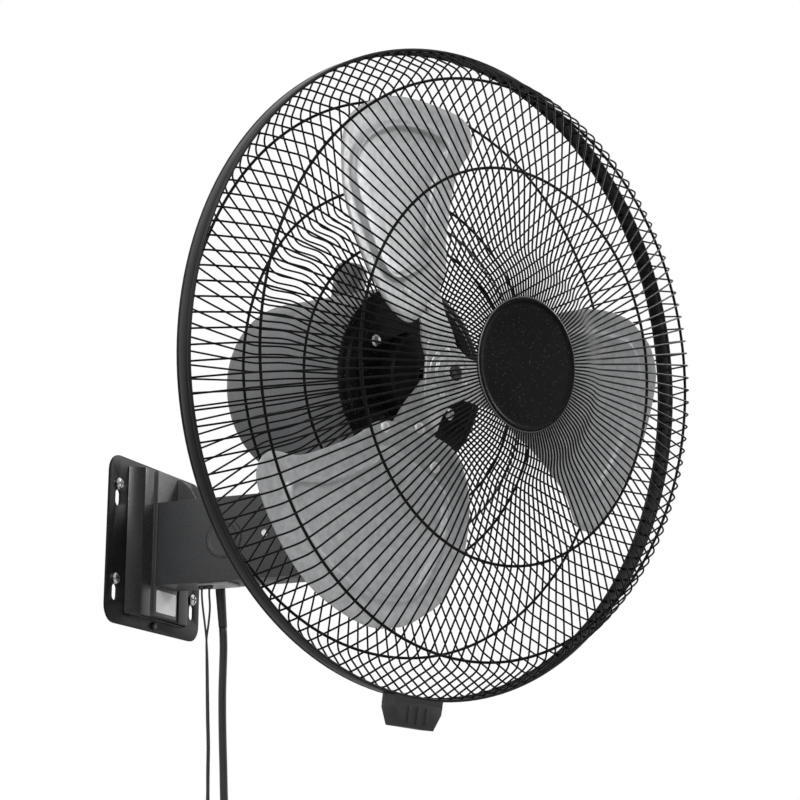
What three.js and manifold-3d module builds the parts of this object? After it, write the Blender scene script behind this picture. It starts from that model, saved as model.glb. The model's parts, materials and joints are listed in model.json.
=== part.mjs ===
// Wall mounted fan: a wall plate with a hang-on channel, a box arm with two pull-cord switches,
// a tilting and swinging motor head, a welded wire guard and three riveted metal blades.
// Millimetres. +Z is up, the wall is the plane y = 0 and the fan stands out towards -Y.
// The origin is the middle of the wall plate's back face.
import * as THREE from 'three';
import { mergeVertices } from 'three/addons/utils/BufferGeometryUtils.js';
import Module from 'manifold-3d';

const wasm = await Module();
wasm.setup();

// ---------------------------------------------------------------- driving dimensions

const seatGap = 0.3;              // between two pieces that touch

const plate = { width: 157, height: 144, thick: 2, corner: 15 };
// Slots and screws are set in from the plate's side, top and bottom edges.
const slot = { inset: 13.5, fromTop: 37, fromBottom: 26, width: 8, length: 14 };
const screw = { inset: 13.5, fromTop: 25, fromBottom: 37.5, headRadius: 5, headTall: 3, shankRadius: 2.4 };
const lockScrew = { fromBottom: 5.5, head: 3.4, headTall: 2.4, shank: 1.8 };
const channel = { sheet: 2, halfBase: 50, halfLip: 39.5, deep: 10.5, fromBottom: 10, fromTop: 6,
  mouthGap: 5 };
const slide = { sideGap: 3.5, shoulder: 1.4, pastLip: 0.8, aboveBottom: 2, aboveTop: 1 };
const gusset = { thick: 2, reach: 36, tall: 28 };

const arm = { halfWide: 17.6, wall: 2.8, zLow: -34.5, zHigh: 38.5, endRadius: 28, toeRadius: 18 };
const armMouth = { reach: 60, behind: 15, drop: 8 };
const sideCap = { out: 79, z: 2, radius: 17, tall: 1.6, rim: 3.4, sunk: 0.9 };
const sideScrew = { out: 118.7, z: 3.5, radius: 3.4, tall: 2 };
const pivot = { out: 129.35, z: 20.28, boltRadius: 4, headRadius: 7, knuckleRadius: 14.5 };
const tiltAngle = 7.84;           // nose down in the photographed pose, degrees
const swingAngle = -24.69;        // turned to the wall's left, degrees

const neck = { postWide: 20, postDeep: 20, postTall: 26, flangeRadius: 14, flangeTall: 4,
  spindleRadius: 7, spindleTall: 34 };
const axisAbove = 110;            // fan axis above the tilt bolt
const rimAhead = 188.55;          // rim plane ahead of the swing spindle

// Stations along the fan axis are depths, counted forward from the rim's middle plane.
const cover = { radius: 76, wall: 1.6, rear: -203, corner: 9 };
const gearBoss = { wall: 4.7, tall: 56, webHalf: 9, footClear: 12, flangeRadius: 52, flangeThick: 5 };
const swingMotor = { radius: 25, tall: 17, behindWall: 15, tipRadius: 4, tipTall: 6 };
const stator = { radius: 62, front: -64, rear: -104 };
const rotorCore = { radius: 31, airGap: 0.6, inset: 1 };
const bearing = { radius: 14, wide: 9, frontAt: -33.3, rearAt: -112 };
const bell = { thick: 5, skirt: 5, sleeve: 5 };
const nose = { radius: 36, front: -30, wall: 3, edge: 2 };
const shaft = { radius: 6, front: 7, rear: -124 };

const rim = { radius: 256.9, sheet: 1.6, halfWide: 5 };
const wire = { radius: 1.1, frontCount: 24, rearCount: 24 };
const ring = { radius: 1.6, steps: 40 };
const cap = { radius: 50.5, front: 87, back: 83.2, flangeRadius: 58, flange: 2.7 };
const centrePlate = { radius: 84, depth: -46, thick: 2, lip: 3, screwCircle: 48, screwCount: 4 };

const blade = { count: 3, firstAngle: 120.4, sheet: 1.4, tipGap: 33.8, bead: 3.4, beadTall: 2,
  outlineSteps: 28 };
const hub = { radius: 32.5, front: -3, thick: 3, bossRadius: 14, bossTall: 2, armHalf: 20, armEnd: 86,
  sheet: 2 };
const shaftNut = { wall: 2.2, tall: 6.5 };      // wall: from the shaft to a corner

const clip = { halfWide: 24.5, halfTip: 18, tall: 19.2, shoulder: 6.2, back: -5, front: 10,
  ribs: [-9, 0, 9] };
const clipScrew = { head: 3.4, headTall: 2, shank: 1.7, deep: 5.5, belowSeat: 11.2 };

const lead = { radius: 3.4, sides: 10, steps: 16 };
const coil = { turns: 6.25, layers: 4, middleRadius: 39.5, pitch: 7.6, sides: 6, stepsPerTurn: 20,
  leadIn: 7, tail: 34 };
const plug = { wide: 34, deep: 20, long: 42, corner: 6, neckTall: 18, neckTop: 5, neckFoot: 8,
  pinLong: 18, pinWide: 6.3, pinThick: 1.6, pinSpacing: 13 };
const pullCord = { radius: 0.9, sides: 8, steps: 16 };
const knob = { radius: 6, tall: 22, tip: 2.2, taper: 5 };

// ---------------------------------------------------------------- finishes

const finish = (color, roughness, metalness) => (
  new THREE.MeshStandardMaterial({ color, roughness, metalness }));
const gloss = finish(0x101112, 0.25, 0.1);
const satinBlack = finish(0x1c1d1e, 0.45, 0.2);
const satinGrey = finish(0x4a4c4e, 0.5, 0.2);
const lightGrey = finish(0xb9bbbc, 0.55, 0.0);
const zinc = finish(0xc3c5c7, 0.3, 0.9);
const steel = finish(0x8d9094, 0.35, 0.9);
const aluminium = finish(0xb4b7ba, 0.45, 0.7);
const laminate = finish(0x3f444a, 0.6, 0.6);
const blackPlastic = finish(0x151515, 0.55, 0.0);
const whitePlastic = finish(0xe6e6e2, 0.5, 0.0);
const cordJacket = finish(0x141414, 0.6, 0.0);
const brass = finish(0xb08d3c, 0.3, 0.9);

// ---------------------------------------------------------------- solids

const degrees = THREE.MathUtils.degToRad;

// A closed three.js geometry as a solid that can be joined and cut.
function solid(geometry) {
  const bare = geometry.clone();
  bare.deleteAttribute('normal');
  bare.deleteAttribute('uv');
  const merged = mergeVertices(bare, 1e-4);
  const at = merged.getAttribute('position');
  const corners = [];
  let volume = 0;
  const a = new THREE.Vector3();
  const b = new THREE.Vector3();
  const c = new THREE.Vector3();
  for (let i = 0; i < merged.index.count; i += 3) {
    const [p, q, r] = [0, 1, 2].map((k) => merged.index.getX(i + k));
    if (p === q || q === r || r === p) continue;
    corners.push(p, q, r);
    a.fromBufferAttribute(at, p);
    b.fromBufferAttribute(at, q);
    c.fromBufferAttribute(at, r);
    volume += a.dot(b.cross(c)) / 6;
  }
  if (volume < 0) corners.reverse();
  return new wasm.Manifold(new wasm.Mesh({
    numProp: 3,
    vertProperties: new Float32Array(at.array),
    triVerts: new Uint32Array(corners),
  }));
}

function solidFrom(points, faces) {
  const geometry = new THREE.BufferGeometry();
  geometry.setAttribute('position', new THREE.BufferAttribute(new Float32Array(points), 3));
  geometry.setIndex(faces);
  return solid(geometry);
}

const joined = (...solids) => solids.reduce((sum, next) => sum.add(next));
const cut = (body, ...tools) => tools.reduce((rest, tool) => rest.subtract(tool), body);

function geometryOf(body) {
  const mesh = body.getMesh();
  const geometry = new THREE.BufferGeometry();
  const points = new Float32Array(mesh.numVert * 3);
  for (let i = 0; i < mesh.numVert; i += 1) {
    for (let k = 0; k < 3; k += 1) points[3 * i + k] = mesh.vertProperties[mesh.numProp * i + k];
  }
  geometry.setAttribute('position', new THREE.BufferAttribute(points, 3));
  geometry.setIndex(new THREE.BufferAttribute(new Uint32Array(mesh.triVerts), 1));
  geometry.computeVertexNormals();
  return geometry;
}

// A block between two corners.
function block(x0, x1, y0, y1, z0, z1) {
  const geometry = new THREE.BoxGeometry(x1 - x0, y1 - y0, z1 - z0);
  geometry.translate((x0 + x1) / 2, (y0 + y1) / 2, (z0 + z1) / 2);
  return solid(geometry);
}

// A round bar along one axis between two stations.
function bar(axis, radius, from, to, centre = [0, 0], sides = 24) {
  const geometry = new THREE.CylinderGeometry(radius, radius, Math.abs(to - from), sides);
  const middle = (from + to) / 2;
  if (axis === 'x') geometry.rotateZ(Math.PI / 2).translate(middle, centre[0], centre[1]);
  if (axis === 'y') geometry.translate(centre[0], middle, centre[1]);
  if (axis === 'z') geometry.rotateX(Math.PI / 2).translate(centre[0], centre[1], middle);
  return solid(geometry);
}

// A profile of (radius, height) points turned about one axis; it closes on itself or on the axis.
function turned(axis, profile, segments = 48) {
  const points = profile.map(([r, h]) => new THREE.Vector2(r, h));
  if (profile.every(([r]) => r > 0)) points.push(points[0].clone());
  const geometry = new THREE.LatheGeometry(points, segments);
  if (axis === 'z') geometry.rotateX(Math.PI / 2);
  if (axis === 'x') geometry.rotateZ(-Math.PI / 2);
  return solid(geometry);
}

// Radius of a faceted bore that a round bar turns in.
const runningBore = (radius, sides) => (radius + 0.05) / Math.cos(Math.PI / sides);

const flat = { depth: 1, bevelEnabled: false, curveSegments: 3 };

// A shape drawn in (x, z), from y = near back towards -Y by thick.
function fromFront(shape, near, thick) {
  const geometry = new THREE.ExtrudeGeometry(shape, { ...flat, depth: thick });
  geometry.rotateX(Math.PI / 2).translate(0, near, 0);
  return solid(geometry);
}

// A shape drawn in (y, z), between two x stations.
function fromSide(shape, x0, x1) {
  const geometry = new THREE.ExtrudeGeometry(shape, { ...flat, depth: x1 - x0 });
  const turn = new THREE.Matrix4().makeBasis(new THREE.Vector3(0, 1, 0), new THREE.Vector3(0, 0, 1),
    new THREE.Vector3(1, 0, 0));
  geometry.applyMatrix4(turn).translate(x0, 0, 0);
  return solid(geometry);
}

// A shape drawn in (x, y), between two z stations.
function fromAbove(shape, z0, z1) {
  return solid(new THREE.ExtrudeGeometry(shape, { ...flat, depth: z1 - z0 }).translate(0, 0, z0));
}

const polygon = (points) => new THREE.Shape(points.map(([x, y]) => new THREE.Vector2(x, y)));

function roundedRectangle(x0, x1, y0, y1, radius) {
  const shape = new THREE.Shape();
  shape.moveTo(x0 + radius, y0);
  shape.lineTo(x1 - radius, y0).absarc(x1 - radius, y0 + radius, radius, -Math.PI / 2, 0);
  shape.lineTo(x1, y1 - radius).absarc(x1 - radius, y1 - radius, radius, 0, Math.PI / 2);
  shape.lineTo(x0 + radius, y1).absarc(x0 + radius, y1 - radius, radius, Math.PI / 2, Math.PI);
  shape.lineTo(x0, y0 + radius).absarc(x0 + radius, y0 + radius, radius, Math.PI, 1.5 * Math.PI);
  return shape;
}

// A path whose stations are the given points, joined by straight lines.
class Waypoints extends THREE.Curve {
  constructor(points) {
    super();
    this.points = points;
  }

  getPoint(t, target = new THREE.Vector3()) {
    const along = THREE.MathUtils.clamp(t, 0, 1) * (this.points.length - 1);
    const i = Math.min(Math.floor(along), this.points.length - 2);
    return target.lerpVectors(this.points[i], this.points[i + 1], along - i);
  }

  getUtoTmapping(u) {
    return u;
  }
}

function tubeSection(radius, sides) {
  const corners = Array.from({ length: sides }, (_, i) => {
    const turn = (2 * Math.PI * (i + 0.5)) / sides;
    return [radius * Math.cos(turn), radius * Math.sin(turn)];
  });
  return polygon(corners);
}

// A bent wire through the given points.
function wireThrough(points, radius, sides) {
  const path = new Waypoints(points);
  const options = { steps: points.length - 1, bevelEnabled: false, extrudePath: path };
  return solid(new THREE.ExtrudeGeometry(tubeSection(radius, sides), options));
}

// ---------------------------------------------------------------- the scene graph

const fan = new THREE.Group();
const tilting = new THREE.Group();
tilting.position.set(0, -pivot.out, pivot.z);
tilting.rotation.x = degrees(tiltAngle);
fan.add(tilting);
const swinging = new THREE.Group();
swinging.rotation.z = degrees(swingAngle);
tilting.add(swinging);
const head = new THREE.Group();
head.position.set(0, -rimAhead, axisAbove);
swinging.add(head);

function place(name, body, material, parent = fan) {
  const mesh = new THREE.Mesh(geometryOf(body), material);
  mesh.name = name;
  parent.add(mesh);
  return mesh;
}

// ---------------------------------------------------------------- wall plate and bracket

const plateFront = -plate.thick;
const plateTop = plate.height / 2;
const slotSides = [-1, 1].map((side) => side * (plate.width / 2 - slot.inset));
const screwSides = [-1, 1].map((side) => side * (plate.width / 2 - screw.inset));
const screwLevels = [plateTop - screw.fromTop, screw.fromBottom - plateTop];
const lockScrewZ = lockScrew.fromBottom - plateTop;

function wallPlate() {
  const shape = roundedRectangle(-plate.width / 2, plate.width / 2, -plateTop, plateTop, plate.corner);
  const holes = [];
  const through = plate.thick + 2;
  for (const x of slotSides) {
    for (const z of [plateTop - slot.fromTop, slot.fromBottom - plateTop]) {
      const outline = roundedRectangle(x - slot.width / 2, x + slot.width / 2, z - slot.length / 2,
        z + slot.length / 2, slot.width / 2 - 0.01);
      holes.push(fromFront(outline, 1, through));
    }
  }
  for (const x of screwSides) {
    for (const z of screwLevels) {
      holes.push(bar('y', screw.shankRadius + seatGap, 1, plateFront - 1, [x, z], 12));
    }
  }
  holes.push(bar('y', lockScrew.shank + seatGap, 1, plateFront - 1, [0, lockScrewZ], 12));
  place('wall_plate', cut(fromFront(shape, 0, plate.thick), ...holes), gloss);
}

// A pan-head screw whose head seats on a face that looks along -Y.
function panScrew(seat, back, headRadius, headTall, shankRadius) {
  return turned('y', [
    [0, back], [shankRadius, back], [shankRadius, seat], [headRadius, seat],
    [headRadius, seat - 0.4 * headTall], [0.72 * headRadius, seat - 0.85 * headTall], [0, seat - headTall],
  ], 12);
}

function plateScrews() {
  const body = panScrew(plateFront - seatGap, 0, screw.headRadius, screw.headTall, screw.shankRadius);
  const spots = screwLevels.flatMap((z) => screwSides.map((x) => [x, z]));
  spots.forEach(([x, z], i) => place(`plate_screw_${i + 1}`, body, zinc).position.set(x, 0, z));
}

// The pressed channel that the arm's slide hangs in: a base, two sloped sides and two lips.
const channelBack = plateFront - seatGap;
const channelFront = channelBack - channel.deep;
const noseHalf = arm.halfWide + slide.shoulder;
const mouthHalf = noseHalf + channel.mouthGap;

function bracketChannel() {
  const s = channel.sheet;
  const lean = s * 1.45;          // a sloped wall's thickness, measured across
  const lipInside = channel.halfLip - 0.4 * s;
  const baseInside = channel.halfBase - lean - s;
  const half = [
    [channel.halfBase, channelBack], [channel.halfLip, channelFront], [mouthHalf, channelFront],
    [mouthHalf, channelFront + s], [lipInside, channelFront + s], [baseInside, channelBack - s],
  ];
  const mirrored = half.map(([x, y]) => [-x, y]).reverse();
  const section = polygon([...half, ...mirrored]);
  const body = fromAbove(section, channel.fromBottom - plateTop, plateTop - channel.fromTop);
  place('bracket_channel', body, gloss);
}

// The arm's own slide: a flange behind the channel's lips and a nose that passes between them.
const slideBack = channelBack - channel.sheet - seatGap;
const slideFlange = channel.deep - 2 * channel.sheet - 3 * seatGap;
const noseFront = channelFront - slide.pastLip;

function armSlide() {
  const flangeFront = slideBack - slideFlange;
  const flangeHalf = channel.halfLip - slide.sideGap;
  const section = polygon([
    [-flangeHalf, slideBack], [flangeHalf, slideBack], [flangeHalf, flangeFront], [noseHalf, flangeFront],
    [noseHalf, noseFront], [-noseHalf, noseFront], [-noseHalf, flangeFront], [-flangeHalf, flangeFront],
  ]);
  const low = channel.fromBottom + slide.aboveBottom - plateTop;
  const high = plateTop - channel.fromTop + slide.aboveTop;
  const root = arm.zHigh + seatGap;
  const web = polygon([
    [noseFront + 1, root], [noseFront + 1, arm.zHigh + gusset.tall],
    [-0.5 * gusset.reach, root + 0.88 * gusset.tall], [-0.72 * gusset.reach, root + 0.63 * gusset.tall],
    [-0.85 * gusset.reach, root + 0.35 * gusset.tall], [-gusset.reach, root],
  ]);
  const webBody = fromSide(web, arm.halfWide - gusset.thick, arm.halfWide);
  place('arm_slide', joined(fromAbove(section, low, high), webBody), satinBlack);
}

function lockingScrew() {
  const body = panScrew(plateFront - seatGap, 0, lockScrew.head, lockScrew.headTall, lockScrew.shank);
  place('locking_screw', body, zinc).position.set(0, 0, lockScrewZ);
}

// ---------------------------------------------------------------- arm

const armBack = noseFront - seatGap;
const pivotY = -pivot.out;

// The arm's side view, drawn in (y, z); inset draws the hollow inside its walls.
function armProfile(inset) {
  const back = armBack - inset;
  const low = arm.zLow + inset;
  const high = arm.zHigh - inset;
  const radius = arm.endRadius - inset;
  const rise = Math.asin((high - pivot.z) / radius);
  const shape = new THREE.Shape();
  shape.moveTo(back, low);
  shape.lineTo(back, high);
  shape.lineTo(pivotY - radius * Math.cos(rise), high);
  shape.absarc(pivotY, pivot.z, radius, Math.PI - rise, Math.PI);
  const toe = arm.toeRadius - inset;
  shape.lineTo(pivotY - radius, low + toe);
  shape.absarc(pivotY - radius + toe, low + toe, toe, Math.PI, 1.5 * Math.PI);
  shape.closePath();
  return shape;
}

const armFloor = arm.zLow + arm.wall;
const innerHalf = arm.halfWide - arm.wall;
const pullSpots = { speed: [-12, -56], swing: [-12, -63.2] };
const leadSpot = [12.9, -60];
const bushing = { stem: 2.3, hole: 1.4, flange: 3.3, flangeTall: 2.4, edge: 0.8 };
const underCover = { x0: -15, x1: 7, y0: -83, y1: -53, thick: 2 };
const relief = { radius: 4.3, tipRadius: 3.7, long: 34, stem: 3.1, shoulder: 4 };
const guideHoles = (from, to) => Object.values(pullSpots).map((spot) => (
  bar('z', bushing.stem + seatGap, from, to, spot, 12)));

function armHousing() {
  const outer = fromSide(armProfile(0), -arm.halfWide, arm.halfWide);
  const inner = fromSide(armProfile(arm.wall), -innerHalf, innerHalf);
  const mouth = block(-innerHalf, innerHalf, pivotY - armMouth.reach, pivotY + armMouth.behind,
    pivot.z - armMouth.drop, arm.zHigh + 1);
  const outsideArm = arm.halfWide + 1;
  const boltHole = bar('x', pivot.boltRadius + seatGap, -outsideArm, outsideArm, [pivotY, pivot.z], 20);
  const leadHole = bar('z', relief.stem + 2 * seatGap, arm.zLow - 1, armFloor + 1, leadSpot, 16);
  const body = cut(outer, inner, mouth, boltHole, ...guideHoles(arm.zLow - 1, armFloor + 1), leadHole);
  place('arm_housing', body, satinGrey);
}

// A turned shape that stands on the arm's left side, given as (radius, height) from that side.
const onArmSide = (profile, segments) => (
  turned('x', profile.map(([r, h]) => [r, -arm.halfWide - seatGap - h]), segments));

function armTrim() {
  const { radius, rim: rimWide, tall, sunk } = sideCap;
  const capBody = onArmSide([[0, 0], [radius, 0], [radius, 0.5 * tall], [radius - 1.2, tall],
    [radius - rimWide, tall], [radius - rimWide - 0.8, sunk], [0, sunk]], 24);
  place('arm_side_cap', capBody, satinGrey).position.set(0, -sideCap.out, sideCap.z);
  const tip = onArmSide([[0, 0], [sideScrew.radius, 0], [sideScrew.radius, 0.5 * sideScrew.tall],
    [0.7 * sideScrew.radius, sideScrew.tall], [0, sideScrew.tall]], 12);
  place('arm_side_screw', tip, zinc).position.set(0, -sideScrew.out, sideScrew.z);
  const top = arm.zLow - seatGap;
  const low = top - underCover.thick;
  const panel = block(underCover.x0, underCover.x1, underCover.y0, underCover.y1, low, top);
  place('arm_bottom_cover', cut(panel, ...guideHoles(low - 1, top + 1)), lightGrey);
}

const capacitor = { half: 11, y0: -109, y1: -88, tall: 38, corner: 4 };
const terminal = { half: 11, y0: -34, y1: -20, tall: 9, wall: 4, wallTall: 14 };
const pullSwitch = { right: 7, tall: 22, turretRadius: 6, turretTall: 4,
  spans: [[-58.6, -37], [-82.5, -60.8]] };

function armInside() {
  const floor = armFloor + seatGap;
  const { half, y0, y1 } = capacitor;
  const can = roundedRectangle(-half, half, y0, y1, capacitor.corner);
  place('run_capacitor', fromAbove(can, floor, floor + capacitor.tall), blackPlastic);
  const middle = (terminal.y0 + terminal.y1) / 2;
  const wall = block(-terminal.half, terminal.half, middle - terminal.wall / 2, middle + terminal.wall / 2,
    floor, floor + terminal.wallTall);
  const foot = block(-terminal.half, terminal.half, terminal.y0, terminal.y1, floor, floor + terminal.tall);
  place('terminal_block', joined(foot, wall), whitePlastic);
  const left = seatGap - innerHalf;
  const top = floor + pullSwitch.tall;
  ['speed', 'swing'].forEach((name, i) => {
    const [front, back] = pullSwitch.spans[i];
    const turret = bar('z', pullSwitch.turretRadius, top - 1, top + pullSwitch.turretTall,
      [(left + pullSwitch.right) / 2, (front + back) / 2], 16);
    const box = block(left, pullSwitch.right, front, back, floor, top);
    place(`pull_switch_${name}`, joined(box, turret), blackPlastic);
  });
}

// The turned guide that a pull cord runs through, seated in the panel and the arm's floor.
function pullBushings() {
  const panelFace = arm.zLow - seatGap - underCover.thick - seatGap;
  for (const [name, [x, y]] of Object.entries(pullSpots)) {
    const low = panelFace - bushing.flangeTall;
    const body = turned('z', [[bushing.hole, low], [bushing.flange - bushing.edge, low],
      [bushing.flange, low + bushing.edge],
      [bushing.flange, panelFace], [bushing.stem, panelFace], [bushing.stem, armFloor],
      [bushing.hole, armFloor]], 12);
    place(`cord_bushing_${name}`, body, blackPlastic).position.set(x, y, 0);
  }
}

const boltFit = pivot.boltRadius + seatGap;

function tiltBolt() {
  const face = arm.halfWide + seatGap;
  const [headTall, nutTall, past] = [5, 6, 8];
  const body = joined(bar('x', pivot.boltRadius, -face - 1, face + past, [0, 0], 20),
    bar('x', pivot.headRadius, -face - headTall, -face, [0, 0], 6));
  place('tilt_bolt', body, steel).position.set(0, pivotY, pivot.z);
  const nut = cut(bar('x', pivot.headRadius, face, face + nutTall, [0, 0], 6),
    bar('x', boltFit, face - 1, face + nutTall + 1, [0, 0], 20));
  place('tilt_nut', nut, steel).position.set(0, pivotY, pivot.z);
}

// ---------------------------------------------------------------- neck

const flangeTop = neck.postTall + neck.flangeTall;

function neckBracket() {
  const half = innerHalf - 0.5;
  const knuckle = bar('x', pivot.knuckleRadius, -half, half, [0, 0], 24);
  const [wide, deep] = [Math.min(neck.postWide / 2, half), neck.postDeep / 2];
  const post = block(-wide, wide, -deep, deep, pivot.boltRadius + 1, neck.postTall + 1);
  const flange = bar('z', neck.flangeRadius, neck.postTall, flangeTop, [0, 0], 24);
  const spindle = bar('z', neck.spindleRadius, flangeTop - 1, flangeTop + neck.spindleTall, [0, 0], 16);
  const hole = bar('x', boltFit, -half - 1, half + 1, [0, 0], 16);
  place('neck_bracket', cut(joined(knuckle, post, flange, spindle), hole), satinGrey, tilting);
}

// ---------------------------------------------------------------- motor and swing gear
// In the head's frame y is minus the depth.

const bossFoot = flangeTop + seatGap - axisAbove;
const bossTop = bossFoot + gearBoss.tall;
const spindleBore = neck.spindleRadius + seatGap;
const bossRadius = spindleBore + gearBoss.wall;
const rearBellBack = bearing.wide - bearing.rearAt + 3;
const gearWall = rearBellBack + seatGap;

function gearHousing() {
  const boss = bar('z', bossRadius, bossFoot, bossTop, [0, rimAhead], 24);
  const { webHalf, footClear } = gearBoss;
  const web = block(-webHalf, webHalf, gearWall + 2, rimAhead - 5, bossFoot + footClear, bossTop);
  const flangeBack = gearWall + gearBoss.flangeThick;
  const flange = turned('y', [[0, gearWall], [gearBoss.flangeRadius, gearWall],
    [gearBoss.flangeRadius, flangeBack], [0, flangeBack]], 24);
  const roof = 6;
  const bore = bar('z', spindleBore, bossFoot - 1, bossTop - roof, [0, rimAhead], 24);
  place('gear_housing', cut(joined(boss, web, flange), bore), satinGrey, head);
}

function swingDrive() {
  const base = bossTop + seatGap;
  const top = base + swingMotor.tall;
  const y = gearWall + swingMotor.behindWall + swingMotor.radius;
  const motor = joined(bar('z', swingMotor.radius, base, top, [0, y], 24),
    bar('z', swingMotor.tipRadius, top - 1, top + swingMotor.tipTall, [0, y], 12));
  place('swing_motor', motor, zinc, head);
}

function motorCover() {
  const { radius, wall, corner } = cover;
  const front = centrePlate.thick + seatGap - centrePlate.depth;
  const rear = -cover.rear;
  const knee = 0.3 * corner;      // how far the corner's chamfers cut in at their middle
  const outside = [[radius, front], [radius, rear - corner], [radius - knee, rear - knee],
    [radius - corner, rear], [0, rear]];
  const inside = [[0, rear - wall], [radius - corner - 1, rear - wall], [radius - wall, rear - corner - 1],
    [radius - wall, front]];
  const shell = turned('y', [...inside, ...outside], 36);
  const mouth = bar('z', bossRadius + 2 * seatGap, -radius - 10, 30 - radius, [0, rimAhead], 24);
  place('motor_cover', cut(shell, mouth), satinGrey, head);
}

// A plain turned sleeve between two stations of y.
const sleeve = (inner, outer, from, to, steps) => turned('y', [[inner, from], [outer, from], [outer, to],
  [inner, to]], steps);

// The front end bell reaches through the guard's centre plate as a round nose that holds the front bearing.
function frontBell() {
  const shaftHole = shaft.radius + 1.5;
  const seat = bearing.radius + seatGap;
  const sleeveOut = bearing.radius + bell.sleeve;
  const face = -nose.front;
  const noseInside = face + nose.wall;
  const plateFace = centrePlate.thick + seatGap - centrePlate.depth;
  const plateBack = plateFace + bell.thick;
  const skirtEnd = -stator.front - seatGap;
  const sleeveEnd = bearing.wide - bearing.frontAt;
  const body = turned('y', [[shaftHole, face], [nose.radius - nose.edge, face],
    [nose.radius, face + nose.edge], [nose.radius, plateFace], [stator.radius, plateFace],
    [stator.radius, skirtEnd],
    [stator.radius - bell.skirt, skirtEnd], [stator.radius - bell.skirt, plateBack],
    [nose.radius - nose.wall, plateBack], [nose.radius - nose.wall, noseInside], [sleeveOut, noseInside],
    [sleeveOut, sleeveEnd], [seat, sleeveEnd], [seat, noseInside], [shaftHole, noseInside]], 20);
  place('motor_front_bell', body, gloss, head);
}

function rearBell() {
  const [seat, sleeveOut] = [bearing.radius + seatGap, bearing.radius + bell.sleeve];
  const skirtEnd = seatGap - stator.rear;
  const inside = rearBellBack - bell.thick;
  const body = turned('y', [[seat, rearBellBack], [stator.radius, rearBellBack], [stator.radius, skirtEnd],
    [stator.radius - bell.skirt, skirtEnd], [stator.radius - bell.skirt, inside], [sleeveOut, inside],
    [sleeveOut, -bearing.rearAt], [seat, -bearing.rearAt]], 20);
  place('motor_rear_bell', body, zinc, head);
}

function motorInside() {
  frontBell();
  rearBell();
  const statorBore = rotorCore.radius + rotorCore.airGap;
  place('stator', sleeve(statorBore, stator.radius, -stator.front, -stator.rear, 28), laminate, head);
  const fit = runningBore(shaft.radius, 16);
  for (const [name, at] of [['front_bearing', -bearing.frontAt], ['rear_bearing', -bearing.rearAt]]) {
    place(name, sleeve(fit, bearing.radius, at, at + bearing.wide, 16), steel, head);
  }
  const core = sleeve(shaft.radius + seatGap, rotorCore.radius, rotorCore.inset - stator.front,
    -stator.rear - rotorCore.inset, 20);
  place('rotor_core', core, laminate, head);
  place('motor_shaft', bar('y', shaft.radius, -shaft.front, -shaft.rear, [0, 0], 16), steel, head);
}

// ---------------------------------------------------------------- guard

const hookRadius = rim.radius + seatGap + wire.radius;
const elbow = rim.radius - 24.9;  // where the wires turn in from the rim
const outerHoop = rim.radius - 32.2;
const middleHoops = { front: 152.4, rear: 157 };
const frontWire = [[cap.radius + 2.6, 85.4], [72, 85.4], [89, 76], [middleHoops.front, 72.1],
  [outerHoop, 49.6], [elbow, 46], [hookRadius, 6.6], [hookRadius, 1]];
const rearWire = [[centrePlate.radius - centrePlate.lip, -47.6], [131, -47.6], [143, -69],
  [outerHoop, -44.9], [elbow, -40], [hookRadius, -6.6], [hookRadius, -1]];

// The hoops are welded on inside the wires, sunk a little into each.
const hoopSeat = 0.6 * ring.radius + 0.6 * wire.radius;

function hoopUnder(profile, radius, side) {
  const i = profile.findIndex(([r]) => r >= radius);
  const [[r0, d0], [r1, d1]] = [profile[Math.max(i - 1, 0)], profile[i]];
  const depth = r1 === r0 ? d1 : d0 + ((d1 - d0) * (radius - r0)) / (r1 - r0);
  return [radius, depth - side * hoopSeat];
}

const capHoop = [cap.radius + 2.6, 84.6];
const frontHoops = [capHoop, hoopUnder(frontWire, middleHoops.front, 1), hoopUnder(frontWire, outerHoop, 1)];
const rearHoops = [112, middleHoops.rear, outerHoop].map((radius) => hoopUnder(rearWire, radius, -1));

const aboutAxis = (radius, turn, depth) => new THREE.Vector3(
  radius * Math.cos(turn), -depth, radius * Math.sin(turn));

// A hoop about the fan axis, flat on the side that carries the wires.
function hoop([radius, depth], side) {
  const thick = ring.radius;
  const seat = -depth - side * 0.6 * thick;
  return turned('y', [[radius - thick, seat], [radius + thick, seat], [radius, side * thick - depth]],
    ring.steps);
}

// A bent guard wire: its three-sided section keeps one edge towards the hoops.
function radialWire(profile, turn, side) {
  const tangent = new THREE.Vector3(-Math.sin(turn), 0, Math.cos(turn));
  const sections = profile.map(([r, depth], i) => {
    const [before, after] = [profile[Math.max(i - 1, 0)], profile[Math.min(i + 1, profile.length - 1)]];
    const legs = [[r - before[0], depth - before[1]], [after[0] - r, after[1] - depth]]
      .map(([dr, dd]) => new THREE.Vector2(dr, dd).normalize()).filter((leg) => leg.length() > 0);
    const along = legs.reduce((sum, leg) => sum.clone().add(leg)).normalize();
    const widen = 1 / Math.max(along.dot(legs[0]), 0.5);
    const outward = new THREE.Vector2(-along.y, along.x).multiplyScalar(side * widen);
    const spot = (across, out) => aboutAxis(r + out * outward.x, turn, depth + out * outward.y)
      .addScaledVector(tangent, across);
    const half = 0.87 * wire.radius;
    return [spot(-half, 0.5 * wire.radius), spot(half, 0.5 * wire.radius), spot(0, -wire.radius)];
  });
  const points = sections.flat().flatMap((p) => [p.x, p.y, p.z]);
  const faces = [0, 1, 2];
  for (let i = 0; i + 1 < sections.length; i += 1) {
    for (let k = 0; k < 3; k += 1) {
      const [a, b] = [3 * i + k, 3 * i + ((k + 1) % 3)];
      faces.push(a, a + 3, b, b, a + 3, b + 3);
    }
  }
  const last = points.length / 3 - 3;
  faces.push(last, last + 2, last + 1);
  return solidFrom(points, faces);
}

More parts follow.
